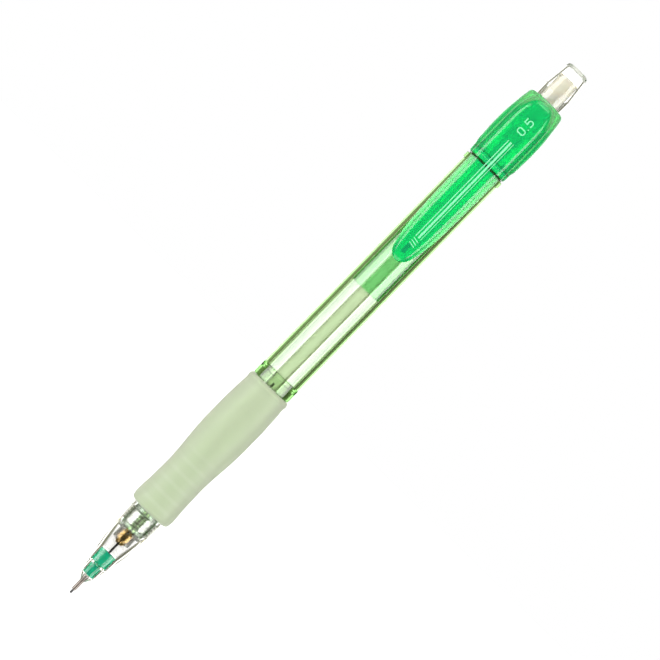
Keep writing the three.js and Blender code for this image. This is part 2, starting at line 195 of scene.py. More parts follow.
def turned(name, fit, outline, segments, warp=None):
    """A turned piece from a closed loop of [radius, height], with the true surface's normals.
    The loop is brought to the height and width of the CAD node named by fit. warp(radii,
    heights, angles) moves each ring's points and drops the exact normals."""
    loop = np.array(outline, float)
    loop = loop[np.linalg.norm(loop - np.roll(loop, 1, 0), axis=1) > 1e-5]
    bottom, top = loop[:, 1].min(), loop[:, 1].max()
    loop[:, 1] = low(fit) + (loop[:, 1] - bottom) * (high(fit) - low(fit)) / (top - bottom)
    loop[:, 0] *= radius(fit) / loop[:, 0].max()
    following = np.roll(loop, -1, 0)
    if np.sum(loop[:, 0] * following[:, 1] - following[:, 0] * loop[:, 1]) < 0:
        loop = loop[::-1]
    count = len(loop)

    # Each stretch's normal at its start and end, shared with its neighbour at gentle bends
    ahead = np.roll(loop, -1, 0) - loop
    length = np.linalg.norm(ahead, axis=1)
    flat = np.stack([ahead[:, 1], -ahead[:, 0]], 1) / length[:, None]
    starts, ends = flat.copy(), flat.copy()
    for i in range(count):
        if flat[i] @ flat[i - 1] > math.cos(math.radians(32.0)):
            shared = flat[i] * length[i] + flat[i - 1] * length[i - 1]
            shared /= np.linalg.norm(shared)
            starts[i], ends[i - 1] = shared, shared

    angles = np.arange(segments) * 2 * math.pi / segments
    cos, sin = np.cos(angles), np.sin(angles)
    on_axis = [point[0] < 1e-6 for point in loop]
    verts, first = [], []
    for i, (r, z) in enumerate(loop):
        first.append(len(verts))
        if on_axis[i]:
            verts.append((0.0, 0.0, z))
            continue
        radii, heights = np.full(segments, r), np.full(segments, z)
        if warp:
            radii, heights = warp(radii, heights, angles)
        verts += list(zip(radii * cos, radii * sin, heights))

    def normal(profile, k):
        return (profile[0] * cos[k], profile[0] * sin[k], profile[1])

    faces, normals = [], []
    for i in range(count):
        j = (i + 1) % count
        if on_axis[i] and on_axis[j]:
            continue
        a, b, start, end = first[i], first[j], starts[i], ends[i]
        for k in range(segments):
            m = (k + 1) % segments
            if on_axis[i]:
                faces.append((a, b + m, b + k))
                normals += [(0, 0, start[1]), normal(end, m), normal(end, k)]
            elif on_axis[j]:
                faces.append((a + k, a + m, b))
                normals += [normal(start, k), normal(start, m), (0, 0, end[1])]
            else:
                faces.append((a + k, a + m, b + m, b + k))
                normals += [normal(start, k), normal(start, m), normal(end, m), normal(end, k)]
    ob = make(name, verts, faces, None if warp else normals)
    if warp:
        ob.data.set_sharp_from_angle(angle=math.radians(40))
    return ob


# ---------------------------------------------------------------- surfaces from distance fields
def smin(a, b, blend):
    """The smaller of two fields, melted together over a width of blend."""
    share = np.clip(0.5 + 0.5 * (b - a) / blend, 0, 1)
    return b * (1 - share) + a * share - blend * share * (1 - share)


def smax(a, b, blend):
    return -smin(-a, -b, blend)


def gradient(field, points, reach=0.01):
    slope = np.empty_like(points)
    for i in range(3):
        shift = np.zeros(3)
        shift[i] = reach
        slope[:, i] = (field(*(points + shift).T) - field(*(points - shift).T)) / (2 * reach)
    return slope


def surface(name, field, lowest, highest, pitch):
    """A closed mesh of the surface field = 0: one vertex in each grid cell the surface
    crosses, moved on to the surface, with the field's own normals."""
    axes = [np.arange(a, b + pitch, pitch) for a, b in zip(lowest, highest)]
    X, Y, Z = np.meshgrid(*axes, indexing="ij")
    values = field(X.ravel(), Y.ravel(), Z.ravel()).reshape(X.shape)
    inside = values < 0
    shape = tuple(size - 1 for size in values.shape)

    # Average the crossings on each cell's twelve edges
    total, count = np.zeros(shape + (3,), np.float32), np.zeros(shape, np.float32)
    corner = {
        c: tuple(slice(c[i], c[i] + shape[i]) for i in range(3)) for c in np.ndindex(2, 2, 2)
    }
    for axis in range(3):
        for c in np.ndindex(2, 2, 2):
            if c[axis]:
                continue
            far = tuple(1 if i == axis else c[i] for i in range(3))
            value, far_value = values[corner[c]], values[corner[far]]
            cross = inside[corner[c]] != inside[corner[far]]
            with np.errstate(divide="ignore", invalid="ignore"):
                t = np.where(cross, value / (value - far_value), 0).astype(np.float32)
            for i in range(3):
                total[..., i] += np.where(cross, t if i == axis else np.float32(c[i]), 0)
            count += cross
    cells = np.argwhere(count > 0)
    found = tuple(cells.T)
    index = np.full(shape, -1, np.int64)
    index[found] = np.arange(len(cells))
    points = (cells + total[found] / count[found][:, None]) * pitch
    points = points + np.array([axis[0] for axis in axes])

    # A quad round each grid edge that the surface crosses
    quads = []
    for axis in range(3):
        u, v = [i for i in range(3) if i != axis]
        near = [slice(1, -1)] * 3
        near[axis] = slice(0, -1)
        far = list(near)
        far[axis] = slice(1, None)
        near_in, far_in = inside[tuple(near)], inside[tuple(far)]
        cross = np.argwhere(near_in != far_in)
        base = cross + np.array([0 if i == axis else 1 for i in range(3)])
        going_out = near_in[tuple(cross.T)]

        def cell(du, dv):
            place = base.copy()
            place[:, u] -= du
            place[:, v] -= dv
            return index[tuple(place.T)]

        ring = np.stack([cell(0, 0), cell(1, 0), cell(1, 1), cell(0, 1)], 1)
        if axis == 1:
            ring = ring[:, ::-1]
        quads.append(np.where(going_out[:, None], ring, ring[:, ::-1]))
    quads = np.concatenate(quads)
    quads = quads[(quads >= 0).all(1)]

    for _ in range(3):
        slope = gradient(field, points)
        square = np.maximum((slope * slope).sum(1), 1e-9)[:, None]
        step = field(*points.T)[:, None] * slope / square
        size = np.linalg.norm(step, axis=1)
        step *= np.minimum(1, 0.5 * pitch / np.maximum(size, 1e-12))[:, None]
        points = points - step
    normals = gradient(field, points, 0.02)
    normals /= np.linalg.norm(normals, axis=1)[:, None]
    ob = make(name, points, quads.tolist())
    a, b, c, d = (points[quads[:, i]] for i in range(4))
    volume = np.einsum("ij,ij->", a, np.cross(b, c)) + np.einsum("ij,ij->", a, np.cross(c, d))
    if volume < 0:
        ob.data.flip_normals()
    ob.data.normals_split_custom_set_from_vertices(normals.tolist())
    return ob


# ---------------------------------------------------------------- node trees
class NodeTree:
    """A node tree built from Python. Values may be numbers, tuples or other nodes' sockets."""

    def __init__(self, tree):
        self.tree = tree

    def new(self, kind, **settings):
        node = self.tree.nodes.new(kind)
        for key, value in settings.items():
            setattr(node, key, value)
        return node

    def link(self, source, target):
        self.tree.links.new(source, target)

    def put(self, node, name, value):
        socket = node.inputs[name]
        if hasattr(value, "is_linked"):
            self.link(value, socket)
        else:
            socket.default_value = (*value, 1.0) if socket.type == "RGBA" else value

    def fill(self, node, *values):
        for i, value in enumerate(values):
            self.put(node, i, value)
        return node.outputs[0]

    def math(self, op, *values):
        return self.fill(self.new("ShaderNodeMath", operation=op), *values)

    def times(self, a, b):
        return self.math("MULTIPLY", a, b)

    def vector(self, op, *values):
        node = self.new("ShaderNodeVectorMath", operation=op)
        self.fill(node, *values)
        return node.outputs["Value" if op == "DOT_PRODUCT" else "Vector"]

    def mix(self, factor, a, b, blend="MIX"):
        """Colour a, going over to colour b as factor rises to 1."""
        node = self.new("ShaderNodeMix", data_type="RGBA", blend_type=blend)
        for i, value in ((0, factor), (6, a), (7, b)):
            self.put(node, i, value)
        return node.outputs[2]


class Material(NodeTree):
    """A material, textured by place on the object."""

    def __init__(self, name):
        self.mat = bpy.data.materials.new(name)
        self.mat.use_nodes = True
        super().__init__(self.mat.node_tree)
        self.tree.nodes.clear()
        self.out = self.new("ShaderNodeOutputMaterial")
        self.place = self.new("ShaderNodeTexCoord").outputs["Object"]

    def math(self, op, *values):
        """As in any tree, with the inputs left over set to 0."""
        return super().math(op, *values, *[0.0] * (3 - len(values)))

    def axes(self):
        """x, y and z, in metres."""
        split = self.new("ShaderNodeSeparateXYZ")
        self.link(self.place, split.inputs[0])
        return tuple(split.outputs)

    def to_mm(self, value):
        return self.math("DIVIDE", value, MM)

    def noise(self, per_mm, detail=3.0, rough=0.55, stretch=(1, 1, 1)):
        """Noise of about per_mm bumps a millimetre, between 0 and 1."""
        scaled = self.new("ShaderNodeMapping")
        self.put(scaled, "Vector", self.place)
        self.put(scaled, "Scale", tuple(1000 * per_mm * s for s in stretch))
        node = self.new("ShaderNodeTexNoise")
        self.put(node, "Vector", scaled.outputs[0])
        self.put(node, "Scale", 1.0)
        self.put(node, "Detail", detail)
        self.put(node, "Roughness", rough)
        return node.outputs["Fac"]

    def span(self, value, start, end, low=0.0, high=1.0):
        """low up to start and high from end on, straight between."""
        return self.fill(self.new("ShaderNodeMapRange"), value, start, end, low, high)

    def mottle(self, cloud, a, b):
        """Two colours, mixed by noise."""
        return self.mix(self.span(cloud, 0.3, 0.7), a, b)

    def facing(self, blend):
        """0 where the skin is looked at square on, 1 edge on."""
        node = self.new("ShaderNodeLayerWeight")
        self.put(node, "Blend", blend)
        return node.outputs["Facing"]

    def bump(self, height, strength, depth, normal=None):
        """A normal from a height texture, depth mm deep."""
        node = self.new("ShaderNodeBump")
        self.put(node, "Strength", strength)
        self.put(node, "Distance", depth * MM)
        self.put(node, "Height", height)
        if normal is not None:
            self.put(node, "Normal", normal)
        return node.outputs["Normal"]

    def absorb(self, per_mm):
        """Tints the inside by depth: per_mm is how strongly red, green and blue are taken
        out of the light, a millimetre."""
        node = self.new("ShaderNodeVolumeAbsorption")
        top = max(per_mm) * 1.02
        self.put(node, "Color", tuple(1 - value / top for value in per_mm))
        self.put(node, "Density", top / MM)
        self.link(node.outputs[0], self.out.inputs["Volume"])

    def finish(self, **inputs):
        node = self.new("ShaderNodeBsdfPrincipled")
        for key, value in inputs.items():
            self.put(node, key.replace("_", " "), value)
        self.link(node.outputs[0], self.out.inputs["Surface"])
        return self.mat


# ---------------------------------------------------------------- colours of the clear plastics
def outer_hit(mat, geometry, place, wall):
    """1 where light enters from outside through skin further than wall mm from the axis."""
    x, y = mat.to_mm(place[0]), mat.to_mm(place[1])
    away = mat.math("SQRT", mat.math("ADD", mat.times(x, x), mat.times(y, y)))
    outside = mat.math("SUBTRACT", 1.0, geometry.outputs["Backfacing"])
    return mat.times(mat.span(away, wall - 0.1, wall + 0.1), outside)


def skin_hit(mat, wall):
    """Height in mm, how far the skin turns away sideways from the view (0 square on, 1 edge
    on, whatever the tilt along the pencil), and outer_hit."""
    place = mat.axes()
    geometry = mat.new("ShaderNodeNewGeometry")
    flat = mat.vector("MULTIPLY", geometry.outputs["Incoming"], (1, 1, 0))
    unit = mat.vector("NORMALIZE", flat)
    dot = mat.vector("DOT_PRODUCT", unit, geometry.outputs["Normal"])
    sideways = mat.math("SUBTRACT", 1.0, mat.math("ABSOLUTE", dot))
    return mat.to_mm(place[2]), sideways, outer_hit(mat, geometry, place, wall)


def thread_grooves(mat, base, start, end, offset, wall, tone):
    """Draws a thread's grooves in tone, where less light comes through, between two heights
    on the skin that lies further than wall mm out."""
    x, y, z = mat.axes()
    angle = mat.math("DIVIDE", mat.math("ARCTAN2", y, x), 2 * math.pi)
    turns = mat.math("DIVIDE", mat.math("SUBTRACT", z, offset * MM), PITCH * MM)
    turns = mat.math("ADD", mat.math("SUBTRACT", turns, angle), 8.0)  # 8 keeps it above 0
    off = mat.math("ABSOLUTE", mat.math("SUBTRACT", mat.math("FRACT", turns), 0.5))
    fade = mat.times(
        mat.span(z, start * MM, (start + 0.3) * MM), mat.span(z, end * MM, (end - 0.3) * MM)
    )
    groove = mat.times(mat.span(off, 0.27, 0.12), fade)
    hit = outer_hit(mat, mat.new("ShaderNodeNewGeometry"), mat.axes(), wall)
    return mat.mix(mat.times(groove, hit), base, tone)


def plain_body(mat, cloud):
    """Clear, very slightly uneven."""
    return mat.mottle(cloud, (1, 1, 1), (0.985, 0.985, 0.985))


# Bands at the cap's front lip: heights above CAP0 where each starts and ends its rise, and
# starts and ends its fall; strength; colour
LIP_BANDS = [
    ((-0.36, -0.28, 0.12, 0.24), 1.0, (0.0, 0.045, 0.015)),
    ((0.3, 0.45, 1.3, 1.45), 0.5, (0.02, 0.97, 0.42)),
    ((1.45, 1.6, 1.8, 1.95), 0.6, (0.0, 0.28, 0.10)),
]


def deep_body(mat, cloud):
    """Deep green pigment: full in the middle of the clip and all over the cap, paler where the clip
    thins out to its edges and on the cap's thin rear rim, with a painted highlight along the cap's
    outline, where its skin turns edge on. The cap's front lip, at the barrel's collar, reads as a
    dark line, then a bright band, then a faint line."""
    x, _, z = mat.axes()
    ax, z = mat.math("ABSOLUTE", mat.to_mm(x)), mat.to_mm(z)
    colour = mat.mottle(cloud, (0.002, 0.81, 0.28), (0.002, 0.77, 0.265))
    edge = mat.times(mat.span(ax, 2.0, 3.5), mat.span(z, CAP0 + 0.05, CAP0 - 0.15))
    colour = mat.mix(edge, colour, (0.54, 0.88, 0.60))
    # The rim starts further forward to the sides
    bow = mat.times(mat.math("POWER", mat.math("DIVIDE", ax, 2.8), 3.5), 1.9)
    past_rim = mat.math("SUBTRACT", z, mat.math("SUBTRACT", CAP1 - 1.05, bow))
    rim = mat.times(
        mat.span(past_rim, -0.15, 0.35, high=0.75), mat.span(z, CAP1 - 5.0, CAP1 - 2.5)
    )
    colour = mat.mix(rim, colour, (0.46, 0.90, 0.46))
    # Painted highlight along the cap's outline, where the skin turns edge on
    skin = mat.times(
        mat.span(mat.facing(blend=0.5), 0.60, 0.76, high=0.9),
        mat.span(z, CAP0 + 2.8, CAP0 + 3.6),
    )
    colour = mat.mix(skin, colour, (0.50, 0.98, 0.72))
    for heights, strength, tone in LIP_BANDS:
        rise0, rise1, fall0, fall1 = (CAP0 + height for height in heights)
        band = mat.times(mat.span(z, rise0, rise1), mat.span(z, fall1, fall0))
        colour = mat.mix(mat.times(band, strength), colour, tone)
    return colour


def pale_body(mat, cloud):
    """Nearly clear, with painted shade to either side of the middle, where the skin takes a share of
    the light. The two collars, thicker and dull in their bores, are painted greyer, with more painted
    shade to their sides and a lighter painted edge where they turn edge on."""
    z, facing, hit = skin_hit(mat, wall=4.2)
    front = mat.times(mat.span(z, 59.85, 59.7), mat.span(z, 56.0, 56.2))
    rear = mat.span(z, 115.8, 115.95, high=0.6)
    base = plain_body(mat, cloud)
    # The painted shade on the flanks is narrower and lighter where the liner lies inside
    lined = mat.span(z, LINER0 - 0.05, LINER0 + 0.05)
    wide, narrow = mat.span(facing, 0.30, 0.22), mat.span(facing, 0.20, 0.15)
    unlined = mat.math("SUBTRACT", 1.0, lined)
    reach = mat.math("ADD", mat.times(lined, narrow), mat.times(unlined, wide))
    # Painted shade on the flanks, where the outer skin turns sideways from the view
    painted_flank_shade = mat.times(hit, mat.times(mat.span(facing, 0.03, 0.08), reach))
    share = mat.mix(lined, (0.22, 0.19, 0.27), (0.50, 0.43, 0.47))
    base = mat.mix(painted_flank_shade, base, share)
    # Painted shade on the two collars, darker to their sides, with a lighter painted edge where they
    # turn edge on
    collar = mat.mix(mat.span(facing, 0.02, 0.08), (0.84, 0.88, 0.82), (0.60, 0.64, 0.58))
    collar = mat.mix(painted_flank_shade, collar, (0.30, 0.25, 0.28))
    collar = mat.mix(mat.span(facing, 0.28, 0.42), collar, (0.95, 0.95, 0.95))
    return mat.mix(mat.math("MAXIMUM", front, rear), base, collar)


def cone_body(mat, cloud):
    """Clear, with painted shade: greyer in the middle of its wide part, where the wall is looked at
    square on, and to either side of the middle of its threaded end; its thread's grooves are
    painted in shade too."""
    z, facing, hit = skin_hit(mat, wall=2.3)
    wide_part = mat.times(mat.span(z, 11.1, 11.6), mat.span(z, 17.6, 17.2))
    # Painted shade where the wide part's wall is looked at square on
    square = mat.times(wide_part, mat.span(facing, 0.34, 0.22))
    base = mat.mix(mat.times(hit, square), plain_body(mat, cloud), (0.26, 0.255, 0.245))
    # Painted shade to either side of the middle of the threaded end
    beside = mat.times(
        mat.times(mat.span(z, 17.4, 17.8), mat.span(facing, 0.06, 0.11)),
        mat.span(facing, 0.38, 0.30),
    )
    base = mat.mix(mat.times(hit, beside), base, (0.50, 0.50, 0.47))
    # Painted shade in the thread's grooves
    return thread_grooves(
        mat, base, start=17.8, end=22.0, offset=CONE_THREAD_OFFSET, wall=3.3,
        tone=(0.30, 0.34, 0.27),
    )


def seat_body(mat, cloud):
    """A trace of pale pigment, which dulls what is seen through it, with painted shade in the
    thread's grooves that shows up its crests."""
    base = mat.mottle(cloud, (0.94, 0.97, 0.91), (0.91, 0.95, 0.88))
    # Painted shade in the thread's grooves
    return thread_grooves(
        mat, base, start=THREAD0, end=21.6, offset=THREAD0, wall=2.5, tone=(0.62, 0.66, 0.58)
    )


def tube_body(mat, cloud):
    """Nearly clear, and more even to its sides, where the wall is looked at edge on."""
    base = mat.mottle(cloud, (1, 1, 1), (0.97, 0.985, 0.96))
    return mat.mix(mat.span(mat.facing(blend=0.5), 0.12, 0.62), base, (0.985, 0.995, 0.975))


def button_body(mat, cloud):
    """Clear, with a greyer rear end where the wall is thick and dull."""
    end = mat.span(mat.axes()[2], 143.0 * MM, 143.3 * MM)
    return mat.mix(end, plain_body(mat, cloud), (0.80, 0.815, 0.78))


# ---------------------------------------------------------------- materials
def clear_plastic(
    name, per_mm, rough, ior=1.53, lines=0.01, haze=0.0, stretch=(1, 1, 0.06),
    milky=0.0, body=plain_body, frost=None,
):
    """See-through plastic, tinted by depth (per_mm, see absorb), with flow lines along it
    (lines is their strength, stretch their shape), uneven polish (haze) and fine scuffs.
    milky is the share of the light its own pigment scatters, body(mat, cloud) its colour.
    frost = (start, end, extra roughness) dulls the end from start on."""
    mat = Material(name)
    flow = mat.noise(0.9, rough=0.5, stretch=stretch)
    scuff = mat.noise(9.0, detail=2, rough=0.6, stretch=(1, 1, 0.35))
    cloud = mat.noise(0.35, detail=2, rough=0.5)
    roughness = mat.math(
        "ADD",
        mat.span(scuff, 0.55, 0.75, rough, rough + 0.04),
        mat.span(cloud, 0.35, 0.7, high=haze),
    )
    if frost:
        start, end, extra = frost
        dulled = mat.span(mat.axes()[2], start * MM, end * MM, high=extra)
        roughness = mat.math("ADD", roughness, dulled)
    base = body(mat, cloud)
    mat.absorb(per_mm)
    return mat.finish(
        Base_Color=base, Roughness=roughness, IOR=ior, Transmission_Weight=1.0 - milky,
        Normal=mat.bump(flow, lines, depth=0.03), Specular_IOR_Level=0.5,
    )


def metal(name, base, darker_tone, rough, rings, strength, dull=None):
    """Turned or drawn metal: fine lathe rings round it (rings a millimetre, and their
    strength), a little tarnish. dull = (start, end, colour) turns it that colour from start on."""
    mat = Material(name)
    ring = mat.noise(rings, detail=2, rough=0.6, stretch=(0.02, 0.02, 1))
    stain = mat.noise(1.6, rough=0.6)
    colour = mat.mix(mat.span(stain, 0.4, 0.75), base, darker_tone)
    if dull:
        start, end, tone = dull
        colour = mat.mix(mat.span(mat.axes()[2], start * MM, end * MM), colour, tone)
    stained = mat.span(stain, 0.3, 0.8, rough, rough + 0.14)
    return mat.finish(
        Base_Color=colour,
        Metallic=1.0,
        Roughness=mat.math("ADD", stained, mat.span(ring, 0.3, 0.7, high=0.08)),
        Normal=mat.bump(ring, strength, depth=0.01),
    )


def slider_material():
    """Teal moulding with a satin skin."""
    mat = Material("teal_plastic")
    cloud, grain = mat.noise(0.8), mat.noise(18.0, detail=2)
    return mat.finish(
        Base_Color=mat.mottle(cloud, (0.0, 0.37, 0.20), (0.0, 0.31, 0.17)),
        Roughness=mat.span(grain, 0.3, 0.7, 0.14, 0.22),
        Subsurface_Weight=0.35, Subsurface_Radius=(0.2, 1.0, 0.6), Subsurface_Scale=0.0009,
        IOR=1.32,
        Normal=mat.bump(grain, strength=0.12, depth=0.01),
    )


def grip_material():
    """Frosted elastomer: light comes through it blurred, the skin is matt with a fine
    texture, greener where it is looked at square on, and the seat's ribs show faintly."""
    mat = Material("frosted_grip_rubber")
    fine, cloud, speck = mat.noise(14.0, detail=4, rough=0.6), mat.noise(0.5), mat.noise(5.0, rough=0.6)
    normal = mat.bump(fine, strength=0.30, depth=0.02)
    normal = mat.bump(speck, strength=0.15, depth=0.03, normal=normal)
    square = mat.math("SUBTRACT", 1.0, mat.facing(blend=0.35))
    z = mat.axes()[2]
    from_rib = mat.math("SUBTRACT", z, RIB0 * MM - RIB_PITCH * MM / 4)
    wave = mat.math("SINE", mat.times(from_rib, 2 * math.pi / (RIB_PITCH * MM)))
    under = mat.times(
        mat.span(z, (RIB0 - 1.5) * MM, RIB0 * MM),
        mat.span(z, (RIB0 + 5.5 * RIB_PITCH) * MM, (RIB0 + 4.5 * RIB_PITCH) * MM),
    )
    ribs = mat.times(
        mat.times(mat.span(wave, 0.2, 1.0), under), mat.span(square, 0.3, 0.9, high=0.17)
    )
    body = mat.mix(mat.span(square, 0.25, 0.95), (0.81, 0.82, 0.76), (0.63, 0.705, 0.525))
    body = mat.mix(mat.span(cloud, 0.35, 0.75, high=0.35), body, (0.60, 0.68, 0.50))
    body = mat.mix(ribs, body, (0.90, 0.94, 0.84))
    mat.absorb((0.035, 0.012, 0.06))
    return mat.finish(
        Base_Color=body, Roughness=mat.span(speck, 0.3, 0.7, 0.44, 0.56), IOR=1.41,
        Transmission_Weight=0.62, Normal=normal, Specular_IOR_Level=0.35,
        Sheen_Weight=0.12, Sheen_Roughness=0.5,
    )


def eraser_material():
    """Vinyl eraser: chalky, faintly mottled, with powder lying on it; painted lighter inside the cup,
    against the shade the cup casts on it, and painted shade on its sides where they turn edge on.
    """
    mat = Material("vinyl_eraser")
    mottle, powder = mat.noise(1.2, detail=4), mat.noise(22.0, rough=0.65)
    pits = mat.noise(6.0, detail=2)
    normal = mat.bump(powder, strength=0.4, depth=0.02)
    normal = mat.bump(pits, strength=0.25, depth=0.04, normal=normal)
    # The part out of the cup keeps this plain tone
    darker_tone = mat.mottle(mottle, (0.74, 0.71, 0.60), (0.70, 0.67, 0.56))
    # Painted light: lighter inside the cup, against the shade the cup casts
    painted_light_in_cup = mat.mottle(mottle, (0.92, 0.90, 0.80), (0.89, 0.87, 0.77))
    colour = mat.mix(mat.span(mat.axes()[2], 137.0 * MM, 137.5 * MM), painted_light_in_cup, darker_tone)
    # Painted shade on the sides, where they turn edge on
    side = mat.span(mat.facing(blend=0.5), 0.06, 0.45, high=0.75)
    return mat.finish(
        Base_Color=mat.mix(side, colour, (0.50, 0.48, 0.40)),
        Roughness=mat.span(powder, 0.3, 0.7, 0.78, 0.95), Subsurface_Weight=0.25,
        Subsurface_Radius=(1.0, 0.8, 0.5), Subsurface_Scale=0.0008, Normal=normal, IOR=1.45,
    )


def lead_material():
    """Graphite lead: dark satin grey with fine drawn streaks along it."""
    mat = Material("graphite_lead")
    streak = mat.noise(16.0, rough=0.6, stretch=(1, 1, 0.03))
    grain = mat.noise(30.0, detail=2)
    return mat.finish(
        Base_Color=mat.mix(
            mat.span(streak, 0.35, 0.7), (0.028, 0.028, 0.032), (0.075, 0.075, 0.08)
        ),
        Metallic=0.35,
        Roughness=mat.span(grain, 0.3, 0.7, 0.34, 0.5),
        Normal=mat.bump(streak, strength=0.3, depth=0.005),
    )


def rubber_material():
    mat = Material("black_rubber")
    grain = mat.noise(12.0)
    return mat.finish(
        Base_Color=mat.mottle(grain, (0.02, 0.02, 0.02), (0.045, 0.045, 0.045)),
        Roughness=mat.span(grain, 0.3, 0.7, 0.6, 0.8),
        Normal=mat.bump(grain, strength=0.3, depth=0.01),
    )


def acetal_material():
    mat = Material("natural_acetal")
    cloud, grain = mat.noise(0.9), mat.noise(15.0, detail=2)
    return mat.finish(
        Base_Color=mat.mottle(cloud, (0.80, 0.82, 0.76), (0.74, 0.77, 0.70)),
        Roughness=mat.span(grain, 0.3, 0.7, 0.32, 0.45), Subsurface_Weight=0.3,
        Subsurface_Radius=(1.0, 1.0, 0.9), Subsurface_Scale=0.0006,
        Normal=mat.bump(grain, strength=0.1, depth=0.01),
    )


def print_material():
    """Pale screen-printed ink: thin, slightly uneven cover."""
    mat = Material("pale_print_ink")
    cover, edge = mat.noise(3.0), mat.noise(14.0)
    return mat.finish(
        Base_Color=mat.mottle(cover, (0.19, 0.60, 0.35), (0.15, 0.53, 0.30)),
        Roughness=mat.span(edge, 0.3, 0.7, 0.4, 0.55),
        Normal=mat.bump(edge, strength=0.2, depth=0.004),
    )


CLEAR = (0.020, 0.022, 0.034)  # the clear plastic's absorption a millimetre
ALONG = (1, 1, 0.02)  # long flow lines
MATERIALS = {
    "cone": clear_plastic(
        "clear_cone_plastic", CLEAR, rough=0.01, ior=1.32, lines=0.008, body=cone_body
    ),
    "seat": clear_plastic(
        "pale_green_seat_plastic", (0.46, 0.16, 0.44), rough=0.05, stretch=ALONG, milky=0.14,
        body=seat_body,
    ),
    "pale": clear_plastic(
        "pale_green_plastic", (0.19, 0.03, 0.29), rough=0.01, stretch=ALONG, body=pale_body
    ),
    "deep": clear_plastic(
        "deep_green_plastic", (0.85, 0.07, 0.34), rough=0.14, ior=1.45, lines=0.006,
        haze=0.04, stretch=(1, 1, 0.25), milky=0.25, body=deep_body,
    ),
    "pad": clear_plastic("dense_green_plastic", (5.0, 1.7, 3.4), rough=0.2),
    "liner": clear_plastic(
        "liner_green_plastic", (1.15, 0.14, 0.85), rough=0.05, ior=1.42, stretch=ALONG
    ),
    "tube": clear_plastic(
        "tube_green_plastic", (0.82, 0.90, 0.95), rough=0.42, ior=1.06, lines=0.02,
        haze=0.05, stretch=(1, 1, 0.01), body=tube_body,
    ),
    "guide": clear_plastic("guide_clear_plastic", (0.05, 0.03, 0.06), rough=0.05),
    "button": clear_plastic(
        "button_clear_plastic", CLEAR, rough=0.01, ior=1.36, lines=0.008,
        frost=(142.6, 143.2, 0.42), body=button_body,
    ),
    "holder": clear_plastic("holder_smoke_plastic", (0.05, 0.052, 0.075), rough=0.03, ior=1.25),
    "slider": slider_material(),
    "grip": grip_material(),
    "eraser": eraser_material(),
    "lead": lead_material(),
    "retainer": rubber_material(),
    "acetal": acetal_material(),
    "print": print_material(),
    "brass": metal(
        "turned_brass", (0.94, 0.64, 0.25), (0.56, 0.35, 0.12), rough=0.16, rings=14.0,
        strength=0.25, dull=(16.9, 17.3, (0.74, 0.82, 0.52)),
    ),
    "steel": metal(
        "drawn_steel", (0.19, 0.165, 0.15), (0.12, 0.10, 0.09), rough=0.2, rings=20.0,
        strength=0.15,
    ),
}


def dress(ob, material, body=None, nodes=()):
    """Gives a piece its material and slot, the CAD nodes it replaces and the body it rides."""
    ob.data.materials.clear()
    ob.data.materials.append(MATERIALS[material])
    if nodes:
        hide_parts(*nodes)
    if body:
        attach(ob, body)


def turned_piece(name, node, outline, segments, material, body, warp=None):
    """A turned piece in place of one CAD node, dressed."""
    ob = turned(name, node, outline, segments, warp)
    dress(ob, material, body, (node,))


# Outlines below are closed loops of [radius, height, corner radius]; a point without a corner
# radius takes filleted's.
# ---------------------------------------------------------------- the front end
lead_r = radius("lead")
turned_piece(
    "pencil_lead", "lead",
    [
        [0, low("lead")], [lead_r - 0.03, low("lead")], [lead_r, low("lead") + 0.05],
        [lead_r, high("lead")], [0, high("lead")],
    ],
    40, "lead", "lead",
)

turned_piece(
    "guide_pipe", "lead_sleeve",
    filleted([[0.30, 0.9, 0.03], [0.475, 0.9, 0.09], [0.475, 7.6, 0.03], [0.30, 7.6, 0.03]]),
    56, "steel", "slider",
)

turned_piece(
    "sleeve_carrier", "sleeve_slider",
    filleted([
        [0.51, 4.96, 0.05], [1.27, 4.96, 0.24], [1.27, 7.6, 0.08], [1.86, 8.12, 0.1],
        [1.86, 11.06, 0.14], [1.45, 11.06, 0.08], [1.45, 9.1, 0.08], [0.92, 9.1, 0.05],
        [0.92, 7.66, 0.04], [0.51, 7.66, 0.04],
    ]),
    96, "slider", "slider",
)

turned_piece(
    "lead_retainer_ring", "lead_retainer",
    filleted([
        [0.27, 8.05, 0.05], [0.45, 7.72, 0.05], [0.89, 7.72, 0.08], [0.89, 9.02, 0.08],
        [0.55, 9.02, 0.08], [0.27, 8.5, 0.05],
    ]),
    48, "retainer", "slider",
)


def thread(end, out, offset):
    """Moves a wall in or out along a helix up to a height. out is the ridge's height, signed."""

    def warp(radii, heights, angles):
        fade = np.clip((heights - THREAD0) / 0.25, 0, 1) * np.clip((end - heights) / 0.25, 0, 1)
        phase = ((heights - offset) / PITCH - angles / (2 * math.pi)) % 1.0
        tooth = np.clip(1.9 - 5.6 * np.abs(phase - 0.5), 0, 1)
        return radii + out * tooth * fade, heights

    return warp


cone_thread = thread(end=21.4, out=-0.25, offset=CONE_THREAD_OFFSET)
neck_thread = thread(end=21.6, out=0.30, offset=THREAD0)


def cone_warp(radii, heights, angles):
    """Threads the cone's bore only."""
    if 3.05 < radii[0] < 3.2 and heights[0] > 17.9:
        return cone_thread(radii, heights, angles)
    return radii, heights


def neck_warp(radii, heights, angles):
    """Threads the front barrel's neck only."""
    if 2.7 < radii[0] < 2.8 and heights[0] < 21.9:
        return neck_thread(radii, heights, angles)
    return radii, heights


